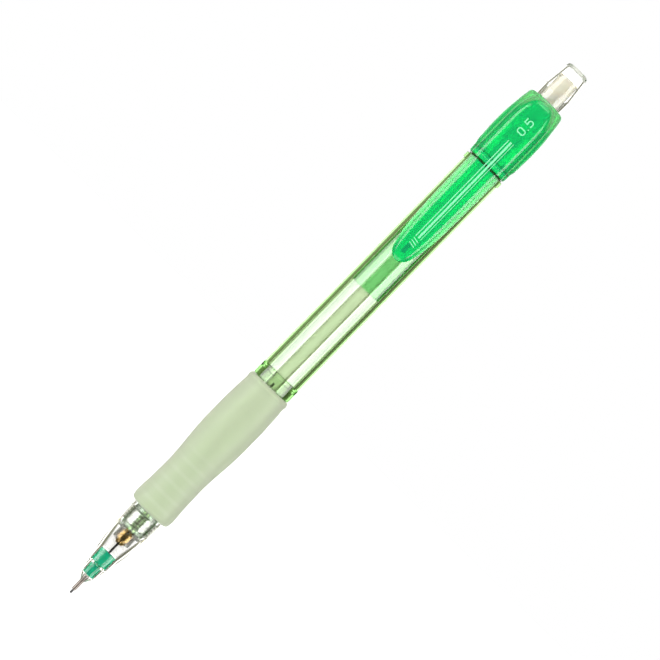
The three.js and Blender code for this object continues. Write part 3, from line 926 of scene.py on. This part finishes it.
CONE_SIDE = [  # height, radius
    [4.84, 1.45], [5.8, 1.70], [7.7, 2.15], [9.7, 2.53], [11.3, 2.80], [12.8, 3.08],
    [15.6, 3.33], [18.0, 3.45], [20.2, 3.58], [22.1, 3.64],
]
cone_outer = [[0.62, 3.46, 0.04], [0.88, 3.9, 0], [1.16, 4.35, 0]]
cone_outer += curve_points(CONE_SIDE, step=0.35)
cone_inner = [[3.15, 22.1, 0.04]] + thread_wall(3.15, 21.8, 17.75) + [
    [2.92, 17.2, 0.05], [2.63, 15.6, 0.1], [1.92, 11.0, 0.15], [1.92, 8.05, 0.05],
    [1.32, 7.5, 0.05], [1.32, 4.8, 0.2], [0.53, 4.8, 0.05], [0.53, 3.46, 0.03],
]
turned_piece(
    "tip_cone_clear", "tip_cone", filleted(cone_outer + cone_inner, corner=0.06),
    160, "cone", "tip", warp=cone_warp,
)

# ---------------------------------------------------------------- the clutch
turned_piece(
    "clutch_guide", "guide_sleeve",
    filleted([
        [1.72, 14.2, 0.06], [2.05, 14.2, 0.12], [2.05, 16.45, 0.05], [2.7, 16.45, 0.08],
        [2.7, 17.05, 0.08], [2.2, 17.05, 0.05], [2.2, 24.0, 0.08], [1.9, 24.0, 0.08],
        [1.9, 17.7, 0.1], [1.0, 17.7, 0.08], [1.0, 16.9, 0.08], [1.72, 16.9, 0.1],
    ]),
    96, "guide", "barrel",
)

turned_piece(
    "clutch_ring_brass", "clutch_ring",
    filleted([[1.28, 14.6, 0.05], [1.62, 14.6, 0.13], [1.62, 16.5, 0.13], [1.12, 16.5, 0.05]]),
    96, "brass", "ring",
)


def cut(ob, cutters):
    """Takes the cutters out of ob, and removes them."""
    for cutter in cutters:
        mod = ob.modifiers.new("cut", "BOOLEAN")
        mod.object, mod.operation, mod.solver = cutter, "DIFFERENCE", "EXACT"
    depsgraph = bpy.context.evaluated_depsgraph_get()
    mesh = bpy.data.meshes.new_from_object(ob.evaluated_get(depsgraph), depsgraph=depsgraph)
    ob.modifiers.clear()
    ob.data = mesh
    for cutter in cutters:
        bpy.data.objects.remove(cutter)
    mesh.polygons.foreach_set("use_smooth", [True] * len(mesh.polygons))
    mesh.set_sharp_from_angle(angle=math.radians(35))


def slab(angle, bottom, top, reach, width):
    """A thin upright cutter standing out from the axis."""
    cos, sin = math.cos(angle), math.sin(angle)
    verts = [
        (x * cos - y * sin, x * sin + y * cos, z)
        for x in (0.0, reach) for y in (-width / 2, width / 2) for z in (bottom, top)
    ]
    faces = [
        (0, 1, 3, 2), (4, 6, 7, 5), (0, 4, 5, 1), (2, 3, 7, 6), (0, 2, 6, 4), (1, 5, 7, 3)
    ]
    return make("cutter", verts, faces)


# The collet, slit three ways into jaws. Its warp moves nothing: it only leaves out the exact
# normals, which the cut would spoil.
chuck = turned(
    "chuck_collet", "chuck",
    filleted([
        [0.29, 13.5, 0.02], [0.62, 13.5, 0.15], [1.08, 13.92, 0.3], [1.30, 14.4, 0.1],
        [1.05, 16.6, 0.15], [0.82, 17.0, 0.1], [0.82, 36.0, 0.04], [0.5, 36.0, 0.03],
        [0.5, 17.5, 0.03], [0.29, 16.5, 0.03],
    ]),
    96, warp=lambda radii, heights, angles: (radii, heights),
)
cut(chuck, [
    slab(math.radians(turn), bottom=13.0, top=27.0, reach=2.0, width=0.24)
    for turn in (30, 150, 270)
])
dress(chuck, "brass", "plunger", ("chuck",))

SPRING0, SPRING1 = low("chuck_spring"), high("chuck_spring")


def coil_spring(name, wire=0.16, turns=11.0, closed=1.2, per_turn=36, sides=14):
    """A coil of wire (its radius), nearly closed over some turns at both ends."""
    coil = radius("chuck_spring") - wire
    steps = int(turns * per_turn)
    share = np.linspace(0, 1, steps + 1)
    dead = closed / turns
    edge = 0.5 * dead * 0.35  # the share of the height that the closed turns climb
    rise = np.interp(share, [0, dead, 1 - dead, 1], [0, edge, 1 - edge, 1])
    angles = share * turns * 2 * math.pi
    heights = SPRING0 + wire + rise * (SPRING1 - SPRING0 - 2 * wire)
    centres = np.stack([coil * np.cos(angles), coil * np.sin(angles), heights], 1)
    tangents = np.gradient(centres, axis=0)
    tangents /= np.linalg.norm(tangents, axis=1)[:, None]
    outward = np.stack([np.cos(angles), np.sin(angles), np.zeros_like(angles)], 1)
    across = np.cross(tangents, outward)
    across /= np.linalg.norm(across, axis=1)[:, None]
    verts, faces = [], []
    for i in range(steps + 1):
        for k in range(sides):
            t = 2 * math.pi * k / sides
            verts.append(centres[i] + wire * (math.cos(t) * outward[i] + math.sin(t) * across[i]))
    for i in range(steps):
        a, b = i * sides, (i + 1) * sides
        for k in range(sides):
            m = (k + 1) % sides
            faces.append((a + k, b + k, b + m, a + m))
    faces.append(tuple(range(sides)))
    faces.append(tuple(steps * sides + k for k in reversed(range(sides))))
    ob = make(name, verts, faces)
    face_outward(ob.data)
    ob.data.set_sharp_from_angle(angle=math.radians(60))
    return ob


spring = coil_spring("chuck_spring_coil")
dress(spring, "steel", "barrel", ("chuck_spring",))

turned_piece(
    "chuck_coupling", "chuck_connector",
    filleted([
        [0.86, 32.2, 0.08], [1.95, 32.2, 0.15], [1.95, 33.25, 0.1], [1.75, 33.6, 0.1],
        [1.75, 40.0, 0.2], [1.47, 40.0, 0.05], [1.47, 36.3, 0.05], [0.86, 36.3, 0.05],
    ]),
    80, "acetal", "plunger",
)

turned_piece(
    "lead_reservoir_tube", "lead_tube",
    filleted([[1.08, 36.45], [1.43, 36.45], [1.43, 127.3], [1.08, 127.3]], corner=0.05),
    96, "tube", "plunger",
)

# ---------------------------------------------------------------- the body
# The front barrel: a threaded neck, then ribs that the grip sits on
ribs = []
for i in range(RIBS):
    z = RIB0 + RIB_PITCH * i
    ribs += [[3.6, z - 0.55, 0.1], [3.8, z - 0.3, 0.1], [3.8, z + 0.3, 0.1], [3.6, z + 0.55, 0.1]]
turned_piece(
    "grip_seat_barrel", "front_barrel",
    filleted(
        [[2.28, 17.2, 0.06], [2.65, 17.2, 0.06], [2.75, 17.35, 0.0]]
        + thread_wall(2.75, 17.8, 21.9)
        + [[2.75, 22.2, 0.05], [3.6, 22.2, 0.08]]
        + ribs
        + [
            [3.6, 39.2, 0.2], [3.75, 39.8, 0.2], [3.75, 50.2, 0.3], [4.25, 50.7, 0.3],
            [4.25, 56.5, 0.1], [3.78, 56.5, 0.05], [3.78, 51.5, 0.05], [3.3, 51.5, 0.05],
            [3.3, 41.0, 0.6], [2.28, 37.5, 0.6],
        ]
    ),
    128, "seat", "barrel", warp=neck_warp,
)

turned_piece(
    "barrel_tube", "barrel",
    filleted([
        [3.3, 51.6, 0.04], [3.72, 51.6, 0.1], [3.72, 56.75, 0.03], [4.6, 56.75, 0.14],
        [4.6, 59.74, 0.07], [4.5, 59.82, 0.04], [4.5, 115.9, 0.05], [4.74, 115.9, 0.07],
        [4.74, 117.2, 0.07], [3.9, 117.2, 0.06], [3.9, 119.3, 0.08], [3.55, 119.3, 0.08],
        [3.55, 59.8, 0.04], [3.05, 59.74, 0.1], [3.05, 59.5, 0.15], [3.3, 58.62, 0.15],
    ]),
    192, "pale", "barrel",
)

GRIP_SIDE = [  # height, radius
    [23.3, 4.74], [23.9, 4.84], [25.3, 4.78], [26.9, 4.67], [28.4, 4.62], [30.0, 4.58],
    [32.4, 4.52], [34.8, 4.62], [36.3, 4.74], [37.9, 4.86], [39.5, 5.0], [41.1, 5.1],
    [42.7, 5.18], [44.5, 5.21], [49.0, 5.21], [50.6, 5.14], [52.1, 5.08], [53.7, 5.0],
    [54.7, 4.91], [55.1, 4.91], [55.6, 4.99],
]
grip_z, grip_r = GRIP_SIDE[0]  # where the rounded front edge runs into the side
grip_edge = [
    [grip_r - 0.72 * (1 - math.sin(t)), grip_z - 1.02 * math.cos(t), 0]
    for t in np.radians(np.arange(12, 90, 9))
]
turned_piece(
    "grip_sleeve", "grip",
    filleted(
        [[3.66, 22.25, 0.12], [3.95, 22.25, 0.1]]
        + grip_edge
        + curve_points(GRIP_SIDE, step=0.3)
        + [
            [5.0, 55.85, 0], [4.93, 56.2, 0], [4.78, 56.48, 0], [4.6, 56.65, 0.05],
            [4.35, 56.65, 0.1], [4.35, 50.55, 0.2], [3.9, 50.05, 0.2], [3.9, 23.7, 0.1],
            [3.66, 23.4, 0.1],
        ]
    ),
    144, "grip", "barrel",
)

turned_piece(
    "barrel_liner", "inner_sleeve",
    filleted([
        [2.95, 83.4, 0.08], [3.45, 83.4, 0.12], [3.45, 119.4, 0.03], [3.85, 119.4, 0.05],
        [3.85, 120.3, 0.08], [2.95, 120.3, 0.08],
    ]),
    144, "liner", "barrel",
)

# ---------------------------------------------------------------- cap and clip, one moulding
# Each curve is height, then a distance from the axis or a half width.
cap_r = smooth([
    [CAP0 - 1, 4.25], [CAP0, 4.27], [CAP0 + 0.25, 4.54], [CAP0 + 0.6, 4.66],
    [CAP0 + 2.4, 4.78], [CAP0 + 2.75, 4.9], [CAP0 + 5.4, 5.08], [CAP0 + 7.6, 5.17],
    [CAP0 + 10.6, 5.1], [CAP0 + 12.2, 4.98], [CAP0 + 13.7, 4.82], [CAP0 + 15.3, 4.64],
    [CAP0 + 16.4, 4.45], [CAP1, 4.25], [CAP1 + 1, 4.2],
])
cavity_r = smooth([
    [CAP0 - 2, 3.97], [CAP0 + 3.0, 3.97], [CAP0 + 3.15, 4.1], [CAP1 - 3.8, 4.1],
    [CAP1 - 1.6, 4.0], [CAP1 - 0.6, 3.86], [CAP1 - 0.5, 3.35], [CAP1 + 2, 3.35],
])
land_base = smooth([
    [CAP0 - 1, 3.55], [125, 3.55], [130, 3.42], [131.5, 3.14], [132.7, 2.78], [133.7, 2.2],
    [134.3, 1.4], [134.62, 0.1], [136, -1.5],
])
land_top = smooth([
    [CAP0 - 1, 3.05], [125, 3.05], [130, 2.92], [131.5, 2.56], [132.7, 2.24], [133.6, 1.75],
    [134.2, 1.0], [134.5, 0.1], [136, -1.5],
])
blade_out = smooth([
    [CLIP0 - 1, 5.0], [CLIP0, 5.3], [CLIP0 + 0.6, 5.66], [CLIP0 + 1.6, 5.9],
    [CLIP0 + 3.5, 6.02], [CLIP0 + 8.5, 6.08], [117.25, 6.15], [125, 6.2], [130, 6.12],
    [132.7, 5.9], [133.7, 5.6], [134.4, 5.15], [136, 4.0],
])
BLADE_HALF = 3.85  # the blade's half width at its widest
blade_half = smooth([
    [CLIP0 - 1, -1.2], [CLIP0, 0.0], [CLIP0 + 0.12, 0.62], [CLIP0 + 0.35, 1.12],
    [CLIP0 + 0.8, 1.66], [CLIP0 + 1.5, 2.12], [CLIP0 + 2.4, 2.45], [CLIP0 + 3.9, 2.82],
    [CLIP0 + 4.9, 3.0], [CLIP0 + 6.9, 3.27], [CLIP0 + 10.8, 3.55], [CLIP0 + 14.8, 3.69],
    [CLIP0 + 18.7, 3.75], [CLIP0 + 22.7, 3.81], [118, BLADE_HALF],
])
# Factors that bring offsets from sloping walls nearer to true distances
CAP_SLOPE, LAND_SIDE_SLOPE, LAND_TOP_SLOPE = 0.97, 0.85, 0.96
LAND_WALL = 0.88  # the wall's thickness under the land
# The blade's crown falls away over the outer share of its half width, to this depth
EDGE_SHARE, EDGE_FALL, FALL_POWER = 0.46, 1.92, 1.9
BLADE_EDGE, BLADE_EXTRA = 0.48, 0.66  # its thickness at the edges, and how much more inside


def blade_field(out, ax, z):
    """The blade that runs forward over the barrel."""
    half = np.maximum(blade_half(z), 1e-3)
    share = np.clip(ax / half, 0, 1.3)
    scale = half / BLADE_HALF
    drop = np.clip((share - (1 - EDGE_SHARE)) / EDGE_SHARE, 0, 2)
    peak = blade_out(z) - (0.06 * share**2 + EDGE_FALL * scale * drop**FALL_POWER)
    ease = np.clip((share - 0.4) / 0.6, 0, 1)
    thick = BLADE_EDGE + BLADE_EXTRA * (1 - ease * ease * (3 - 2 * ease))
    steepness = np.minimum(drop, 1.5) ** (FALL_POWER - 1) * EDGE_FALL * FALL_POWER * scale
    slope = 1 / np.sqrt(1 + (steepness / (EDGE_SHARE * half)) ** 2)
    blade = smax((out - peak) * slope, (peak - thick - out) * slope, blend=0.22)
    blade = smax(blade, ax - blade_half(z), blend=0.25)
    blade = smax(blade, CLIP0 - z, blend=0.2)
    return smax(blade, z - (CAP0 + 0.9), blend=0.1)


def cap_field(x, y, z):
    """The hollow cap, the raised land on it that carries the clip on, and the blade."""
    out, r, ax = -y, np.hypot(x, y), np.abs(x)
    body = (r - cap_r(z)) * CAP_SLOPE
    body = smax(body, CAP0 - z, blend=0.12)
    body = smax(body, z - CAP1, blend=0.75)

    top, base = land_top(z), land_base(z)
    peak = blade_out(z) - 0.05 * (x / 2.9) ** 2
    side = ax - (top + (base - top) * np.clip((peak - out) / 0.95, 0, 1.9))
    land = smax(side * LAND_SIDE_SLOPE, (out - peak) * LAND_TOP_SLOPE, blend=0.7)
    land = smax(land, CAP0 - z, blend=0.1)
    land = smax(land, 1.0 - out, blend=0.1)
    whole = smin(body, land, blend=0.6)

    hollow = r - cavity_r(z)
    under = smax(
        (side + LAND_WALL) * LAND_SIDE_SLOPE, (out - peak + LAND_WALL) * LAND_TOP_SLOPE, blend=0.5
    )
    under = np.maximum(under, np.maximum(CAP0 + 1.2 - z, z - (CAP1 - 1.75)))
    hollow = smin(hollow, np.maximum(under, 2.0 - out), blend=0.3)
    whole = smax(whole, -hollow, blend=0.08)
    return smin(whole, blade_field(out, ax, z), blend=0.3)


cap = surface(
    "cap_and_clip", cap_field, (-5.45, -6.5, CLIP0 - 0.4), (5.45, 5.45, CAP1 + 0.4), pitch=0.13
)
dress(cap, "deep", nodes=("cap", "clip"))
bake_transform(cap)

# The small square pad under the blade's tip, in a plastic that absorbs more and so looks darker
PAD_FACE = -float(BOX["clip"][1][1])  # how far from the axis the pad's face is
PAD_BACK = 5.0  # its other end, inside the blade
PAD_Z = CLIP0 + 3.2
PAD_HALF_X, PAD_HALF_Z, PAD_CORNER = 0.42, 1.02, 0.08  # half sizes inside the corner rounding


def pad_field(x, y, z):
    depth = np.abs(-y - (PAD_FACE + PAD_BACK) / 2) - (PAD_BACK - PAD_FACE) / 2 + PAD_CORNER
    offsets = np.stack([np.abs(x) - PAD_HALF_X, np.abs(z - PAD_Z) - PAD_HALF_Z, depth])
    outside = np.linalg.norm(np.maximum(offsets, 0), axis=0)
    return outside + np.minimum(offsets.max(0), 0) - PAD_CORNER


pad = surface(
    "clip_pad", pad_field, (-0.7, -5.2, CLIP0 + 1.9), (0.7, -4.3, CLIP0 + 4.5), pitch=0.05
)
dress(pad, "pad", "clip")


# ---------------------------------------------------------------- the print on the clip
def ribbon(points, width, closed=False, step=0.25):
    """The two edges of a flat strip along a line of [x, z] points."""
    line = np.array(points, float)
    if closed:
        line = np.vstack([line, line[0]])
    lengths = np.linalg.norm(np.diff(line, axis=0), axis=1)
    places = np.concatenate([[0], np.cumsum(lengths)])
    count = max(2, int(places[-1] / step))
    stops = np.unique(np.concatenate([np.linspace(0, places[-1], count + 1), places]))
    middle = np.stack([np.interp(stops, places, line[:, i]) for i in range(2)], 1)
    along = np.gradient(middle, axis=0)
    if closed:
        along[0] = along[-1] = middle[1] - middle[-2]
    along /= np.linalg.norm(along, axis=1)[:, None]
    across = np.stack([-along[:, 1], along[:, 0]], 1)
    for i in range(1, len(middle) - 1):  # keep the width round bends
        a, b = middle[i] - middle[i - 1], middle[i + 1] - middle[i]
        turn = float(a @ b / (np.linalg.norm(a) * np.linalg.norm(b)))
        across[i] /= max(0.6, math.cos(math.acos(max(-1, min(1, turn))) / 2))
    return middle + across * width / 2, middle - across * width / 2


def printed(name, strips, lift=0.012, thick=0.03):
    """Ink strips, given by their two edges in [x, z], as closed slabs on the clip's face."""
    verts, faces = [], []
    for left, right in strips:
        count, base = len(left), len(verts)
        flat = np.concatenate([left, right])
        points = np.stack([flat[:, 0], -blade_out(flat[:, 1]), flat[:, 1]], 1)
        for _ in range(6):
            points[:, 1] += cap_field(*points.T)
        for height in (lift + thick, lift):
            layer = points.copy()
            layer[:, 1] -= height
            verts += layer.tolist()
        # Left and right edges of the top layer, then of the bottom
        tl, tr, bl, br = (base + k * count for k in range(4))
        for i in range(count - 1):
            faces += [
                (tl + i, tl + i + 1, tr + i + 1, tr + i), (bl + i, br + i, br + i + 1, bl + i + 1),
                (tl + i, bl + i, bl + i + 1, tl + i + 1), (tr + i, tr + i + 1, br + i + 1, br + i),
            ]
        end = count - 1
        faces += [(tl, tr, br, bl), (tl + end, bl + end, br + end, tr + end)]
    ob = make(name, verts, faces)
    face_outward(ob.data)
    ob.data.polygons.foreach_set("use_smooth", [False] * len(ob.data.polygons))
    return ob


def rounded_box(centre_x, centre_z, half_x, half_z, corner, steps=6):
    points = []
    for side_x, side_z, start in ((1, 1, 0), (-1, 1, 90), (-1, -1, 180), (1, -1, 270)):
        for k in range(steps + 1):
            t = math.radians(start + 90 * k / steps)
            points.append([
                centre_x + side_x * (half_x - corner) + corner * math.cos(t),
                centre_z + side_z * (half_z - corner) + corner * math.sin(t),
            ])
    return points


# "0.5" reads with the button end to the right: along it is +Z, and up the numerals is -X.
INK = 0.24
MARK = CAP0 + 8.9
five_bowl = [
    [0.45 - 0.50 * math.cos(t) + 0.05, MARK + 2.95 + 0.52 * math.sin(t)]
    for t in np.radians(np.linspace(-35, 180, 12))
]
digits = [
    ribbon(rounded_box(0.2, MARK + 0.62, 0.8, 0.5, corner=0.42), INK, closed=True),
    ribbon([[1.0, MARK + 1.62], [1.0, MARK + 1.88]], INK),
    ribbon(
        [[-0.6, MARK + 3.45], [-0.6, MARK + 2.5], [0.08, MARK + 2.42]]
        + five_bowl
        + [[0.98, MARK + 2.5], [0.86, MARK + 2.36]],
        INK,
    ),
]
STRIPE0, STRIPE1 = CLIP0 + 6.2, CAP0 + 6.6
stripes = [
    ribbon([[x, STRIPE0], [x, STRIPE1]], width, step=0.5)
    for x, width in ((-0.35, 0.2), (0.35, 0.42), (0.95, 0.12))
]
BAR_PITCH = 0.62
bars = [
    ribbon([[1.0, STRIPE0 - 0.75 - BAR_PITCH * k], [-0.42, STRIPE0 - 0.45 - BAR_PITCH * k]], 0.2)
    for k in range(3)
]
ink = printed("clip_print", digits + stripes + bars)
dress(ink, "print")
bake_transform(ink)

# ---------------------------------------------------------------- push button and eraser
turned_piece(
    "eraser_cup", "eraser_holder",
    filleted([
        [1.47, 124.0, 0.06], [2.0, 124.0, 0.12], [2.0, 127.0, 0.2], [2.55, 127.7, 0.2],
        [2.55, 137.2, 0.08], [2.32, 137.2, 0.06], [2.32, 129.25, 0.15], [1.1, 128.2, 0.1],
        [1.1, 127.5, 0.06], [1.47, 127.5, 0.04],
    ]),
    112, "holder", "plunger",
)

turned_piece(
    "vinyl_eraser", "eraser",
    filleted([[0, 129.35], [2.27, 129.35, 0.15], [2.27, 141.2, 0.3], [0, 141.2]]),
    96, "eraser", "eraser",
)

turned_piece(
    "push_button", "button",
    filleted([
        [0, 143.36], [2.06, 143.36, 0.5], [2.21, 142.3, 0.4], [2.72, 138.0, 0.3],
        [2.63, 137.4, 0.1], [2.63, 127.0, 0.06], [3.1, 127.0, 0.12], [3.1, 134.8, 1.5],
        [3.24, 137.1, 1.2], [2.62, 142.4, 0.5], [2.50, 143.9, 0.85], [0, 143.9],
    ]),
    144, "button", "button",
)

# The push joint's full travel in mm, and a mesh of the spring's own
push = next(joint for joint in frame["joints"] if joint["name"] == "push")
travel = max(push["range_m"]) / MM
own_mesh(spring)

# ---------------------------------------------------------------- camera
scene = bpy.context.scene

# It looks at the clip along +Y, rolled so that the pencil lies from lower left to upper right.
LENS, SENSOR = 200.0, 36.0
VIEW_WIDTH = 0.13035  # metres across the picture at the pencil
ROLL = math.radians(45.72)
AIM = Vector((0.00053, 0, 0.07294))
cam_data = bpy.data.cameras.new("camera")
cam = bpy.data.objects.new("camera", cam_data)
scene.collection.objects.link(cam)
scene.camera = cam
cam_data.lens, cam_data.sensor_width = LENS, SENSOR
cam_data.clip_start, cam_data.clip_end = 0.01, 100
right = Vector((math.sin(ROLL), 0, math.cos(ROLL)))
upward = Vector((-math.cos(ROLL), 0, math.sin(ROLL)))
back = right.cross(upward)
turn = Matrix((right, upward, back)).transposed().to_4x4()
cam.matrix_world = Matrix.Translation(AIM + back * (VIEW_WIDTH * LENS / SENSOR)) @ turn

# ---------------------------------------------------------------- studio light
# The studio turns with the camera and lines up with the pencil as the camera sees it: a bright
# strip of card behind the object and along it, dark to its sides, and soft boxes on the
# camera's side. Directions are (along the pencil, across it, away from the camera).
CARD = 1.9  # the card's brightness
CARD_WIDE = (14.0, 26.0)  # where it starts and ends to fade across, in degrees off the view
CARD_LONG = (42.0, 60.0)  # the same along its length
DARK = (0.25, 0.255, 0.17)
FLAG, FLAG_SHADE = (0.0, -0.92, 0.40), 0.52  # a black flag on one side, and what it leaves
BOXES = [  # direction, half size and softness in degrees, brightness
    ((0.01, 0.85, -0.53), 23, 8, 5.4),
    ((-0.01, -0.87, -0.48), 19, 9, 6.0),
    ((0.87, -0.01, -0.48), 20, 10, 3.0),
    ((-0.87, 0.01, -0.48), 20, 10, 3.0),
]


def cosd(angle):
    return math.cos(math.radians(angle))


def sind(angle):
    return math.sin(math.radians(angle))


def studio_group():
    """A node group that gives the studio's light from a world direction."""
    tree = bpy.data.node_groups.new("studio_light", "ShaderNodeTree")
    tree.interface.new_socket("Direction", in_out="INPUT", socket_type="NodeSocketVector")
    tree.interface.new_socket("Light", in_out="OUTPUT", socket_type="NodeSocketColor")
    group = NodeTree(tree)
    inlet, outlet = group.new("NodeGroupInput"), group.new("NodeGroupOutput")

    def to_camera(direction):
        node = group.new(
            "ShaderNodeVectorTransform", vector_type="VECTOR",
            convert_from="WORLD", convert_to="CAMERA",
        )
        return group.fill(node, direction)

    def ramp(value, start, end):
        node = group.new("ShaderNodeMapRange", interpolation_type="SMOOTHSTEP")
        return group.fill(node, value, start, end, 0.0, 1.0)

    seen = group.vector("NORMALIZE", to_camera(inlet.outputs[0]))
    flat = group.vector("MULTIPLY", to_camera((0, 0, 1)), (1, 1, 0))
    lie = group.vector("NORMALIZE", group.vector("ADD", flat, (0.001, 0, 0)))
    across_lie = group.vector("CROSS_PRODUCT", (0, 0, 1), lie)
    along, sideways, away = (
        group.vector("DOT_PRODUCT", seen, axis) for axis in (lie, across_lie, (0, 0, 1))
    )
    direction = group.fill(group.new("ShaderNodeCombineXYZ"), along, sideways, away)

    def towards(target):
        return group.vector("DOT_PRODUCT", direction, tuple(Vector(target).normalized()))

    off_axis = group.math("SUBTRACT", 1.0, group.times(along, along))
    off_axis = group.math("SQRT", group.math("MAXIMUM", off_axis, 1e-4))
    across = group.math("DIVIDE", away, off_axis)
    card = group.times(
        ramp(across, cosd(CARD_WIDE[1]), cosd(CARD_WIDE[0])),
        ramp(group.math("ABSOLUTE", along), sind(CARD_LONG[1]), sind(CARD_LONG[0])),
    )
    shade = tuple(value * FLAG_SHADE for value in DARK)
    light = group.mix(ramp(towards(FLAG), cosd(40), cosd(20)), DARK, shade)
    light = group.mix(card, light, (CARD,) * 3)
    for target, size, soft, bright in BOXES:
        box = ramp(towards(target), cosd(size + soft), cosd(size))
        lit = group.mix(1.0, light, (bright,) * 3, blend="ADD")
        lit.node.inputs[0].default_value = 1.0
        group.link(box, lit.node.inputs[0])
        light = lit
    group.link(light, outlet.inputs[0])
    return tree


studio = studio_group()


def camera_switch(nodes, others, camera):
    """Shows one shader to the camera and another to all other rays."""
    path = nodes.new("ShaderNodeLightPath")
    switch = nodes.new("ShaderNodeMixShader")
    return nodes.fill(switch, path.outputs["Is Camera Ray"], others, camera)


# The world: the studio, and plain white to the camera
world = bpy.data.worlds.new("studio")
scene.world = world
world.use_nodes = True
world.node_tree.nodes.clear()
sky = NodeTree(world.node_tree)
coord = sky.new("ShaderNodeTexCoord")
room = sky.fill(sky.new("ShaderNodeGroup", node_tree=studio), coord.outputs["Generated"])
lighting = sky.fill(sky.new("ShaderNodeBackground"), room)
white = sky.fill(sky.new("ShaderNodeBackground"), (1, 1, 1))
sky.link(
    camera_switch(sky, lighting, white), sky.new("ShaderNodeOutputWorld").inputs["Surface"]
)

# ---------------------------------------------------------------- floor
# Far enough below the tip that the lead can be fed out over it
FLOOR_Z, FLOOR_HALF = -13.0, 4000


def floor_material():
    """Pale to the camera; through the plastics it looks like the rest of the studio."""
    mat = Material("pale_floor")
    geometry = mat.new("ShaderNodeNewGeometry")
    flip = mat.new("ShaderNodeVectorMath", operation="SCALE")
    mat.put(flip, "Scale", -1.0)
    mat.link(geometry.outputs["Incoming"], flip.inputs[0])
    room = mat.fill(mat.new("ShaderNodeGroup", node_tree=studio), flip.outputs[0])
    through = mat.fill(mat.new("ShaderNodeEmission"), room)
    pale = mat.mottle(mat.noise(0.02, detail=2), (0.55, 0.55, 0.55), (0.53, 0.53, 0.53))
    skin = mat.fill(mat.new("ShaderNodeBsdfDiffuse"), pale)
    glow = mat.new("ShaderNodeEmission")
    mat.put(glow, "Color", (1, 1, 1))
    mat.put(glow, "Strength", 0.86)
    lit = mat.fill(mat.new("ShaderNodeAddShader"), skin, glow.outputs[0])
    mat.link(camera_switch(mat, through, lit), mat.out.inputs["Surface"])
    return mat.mat


corners = ((-1, -1), (1, -1), (1, 1), (-1, 1))
floor = make("floor", [(x * FLOOR_HALF, y * FLOOR_HALF, FLOOR_Z) for x, y in corners], [(0, 1, 2, 3)])
floor.data.materials.append(floor_material())

# ---------------------------------------------------------------- render settings
scene.view_settings.view_transform = "Standard"
scene.view_settings.look = "None"
scene.view_settings.exposure = 0.0
scene.view_settings.gamma = 1.0
cycles = scene.cycles
cycles.max_bounces = 48
cycles.transmission_bounces = 40
cycles.glossy_bounces = 24
cycles.diffuse_bounces = 5
cycles.volume_bounces = 0
cycles.transparent_max_bounces = 16
cycles.caustics_refractive = True
cycles.caustics_reflective = True
cycles.sample_clamp_indirect = 5.0
cycles.blur_glossy = 0.3
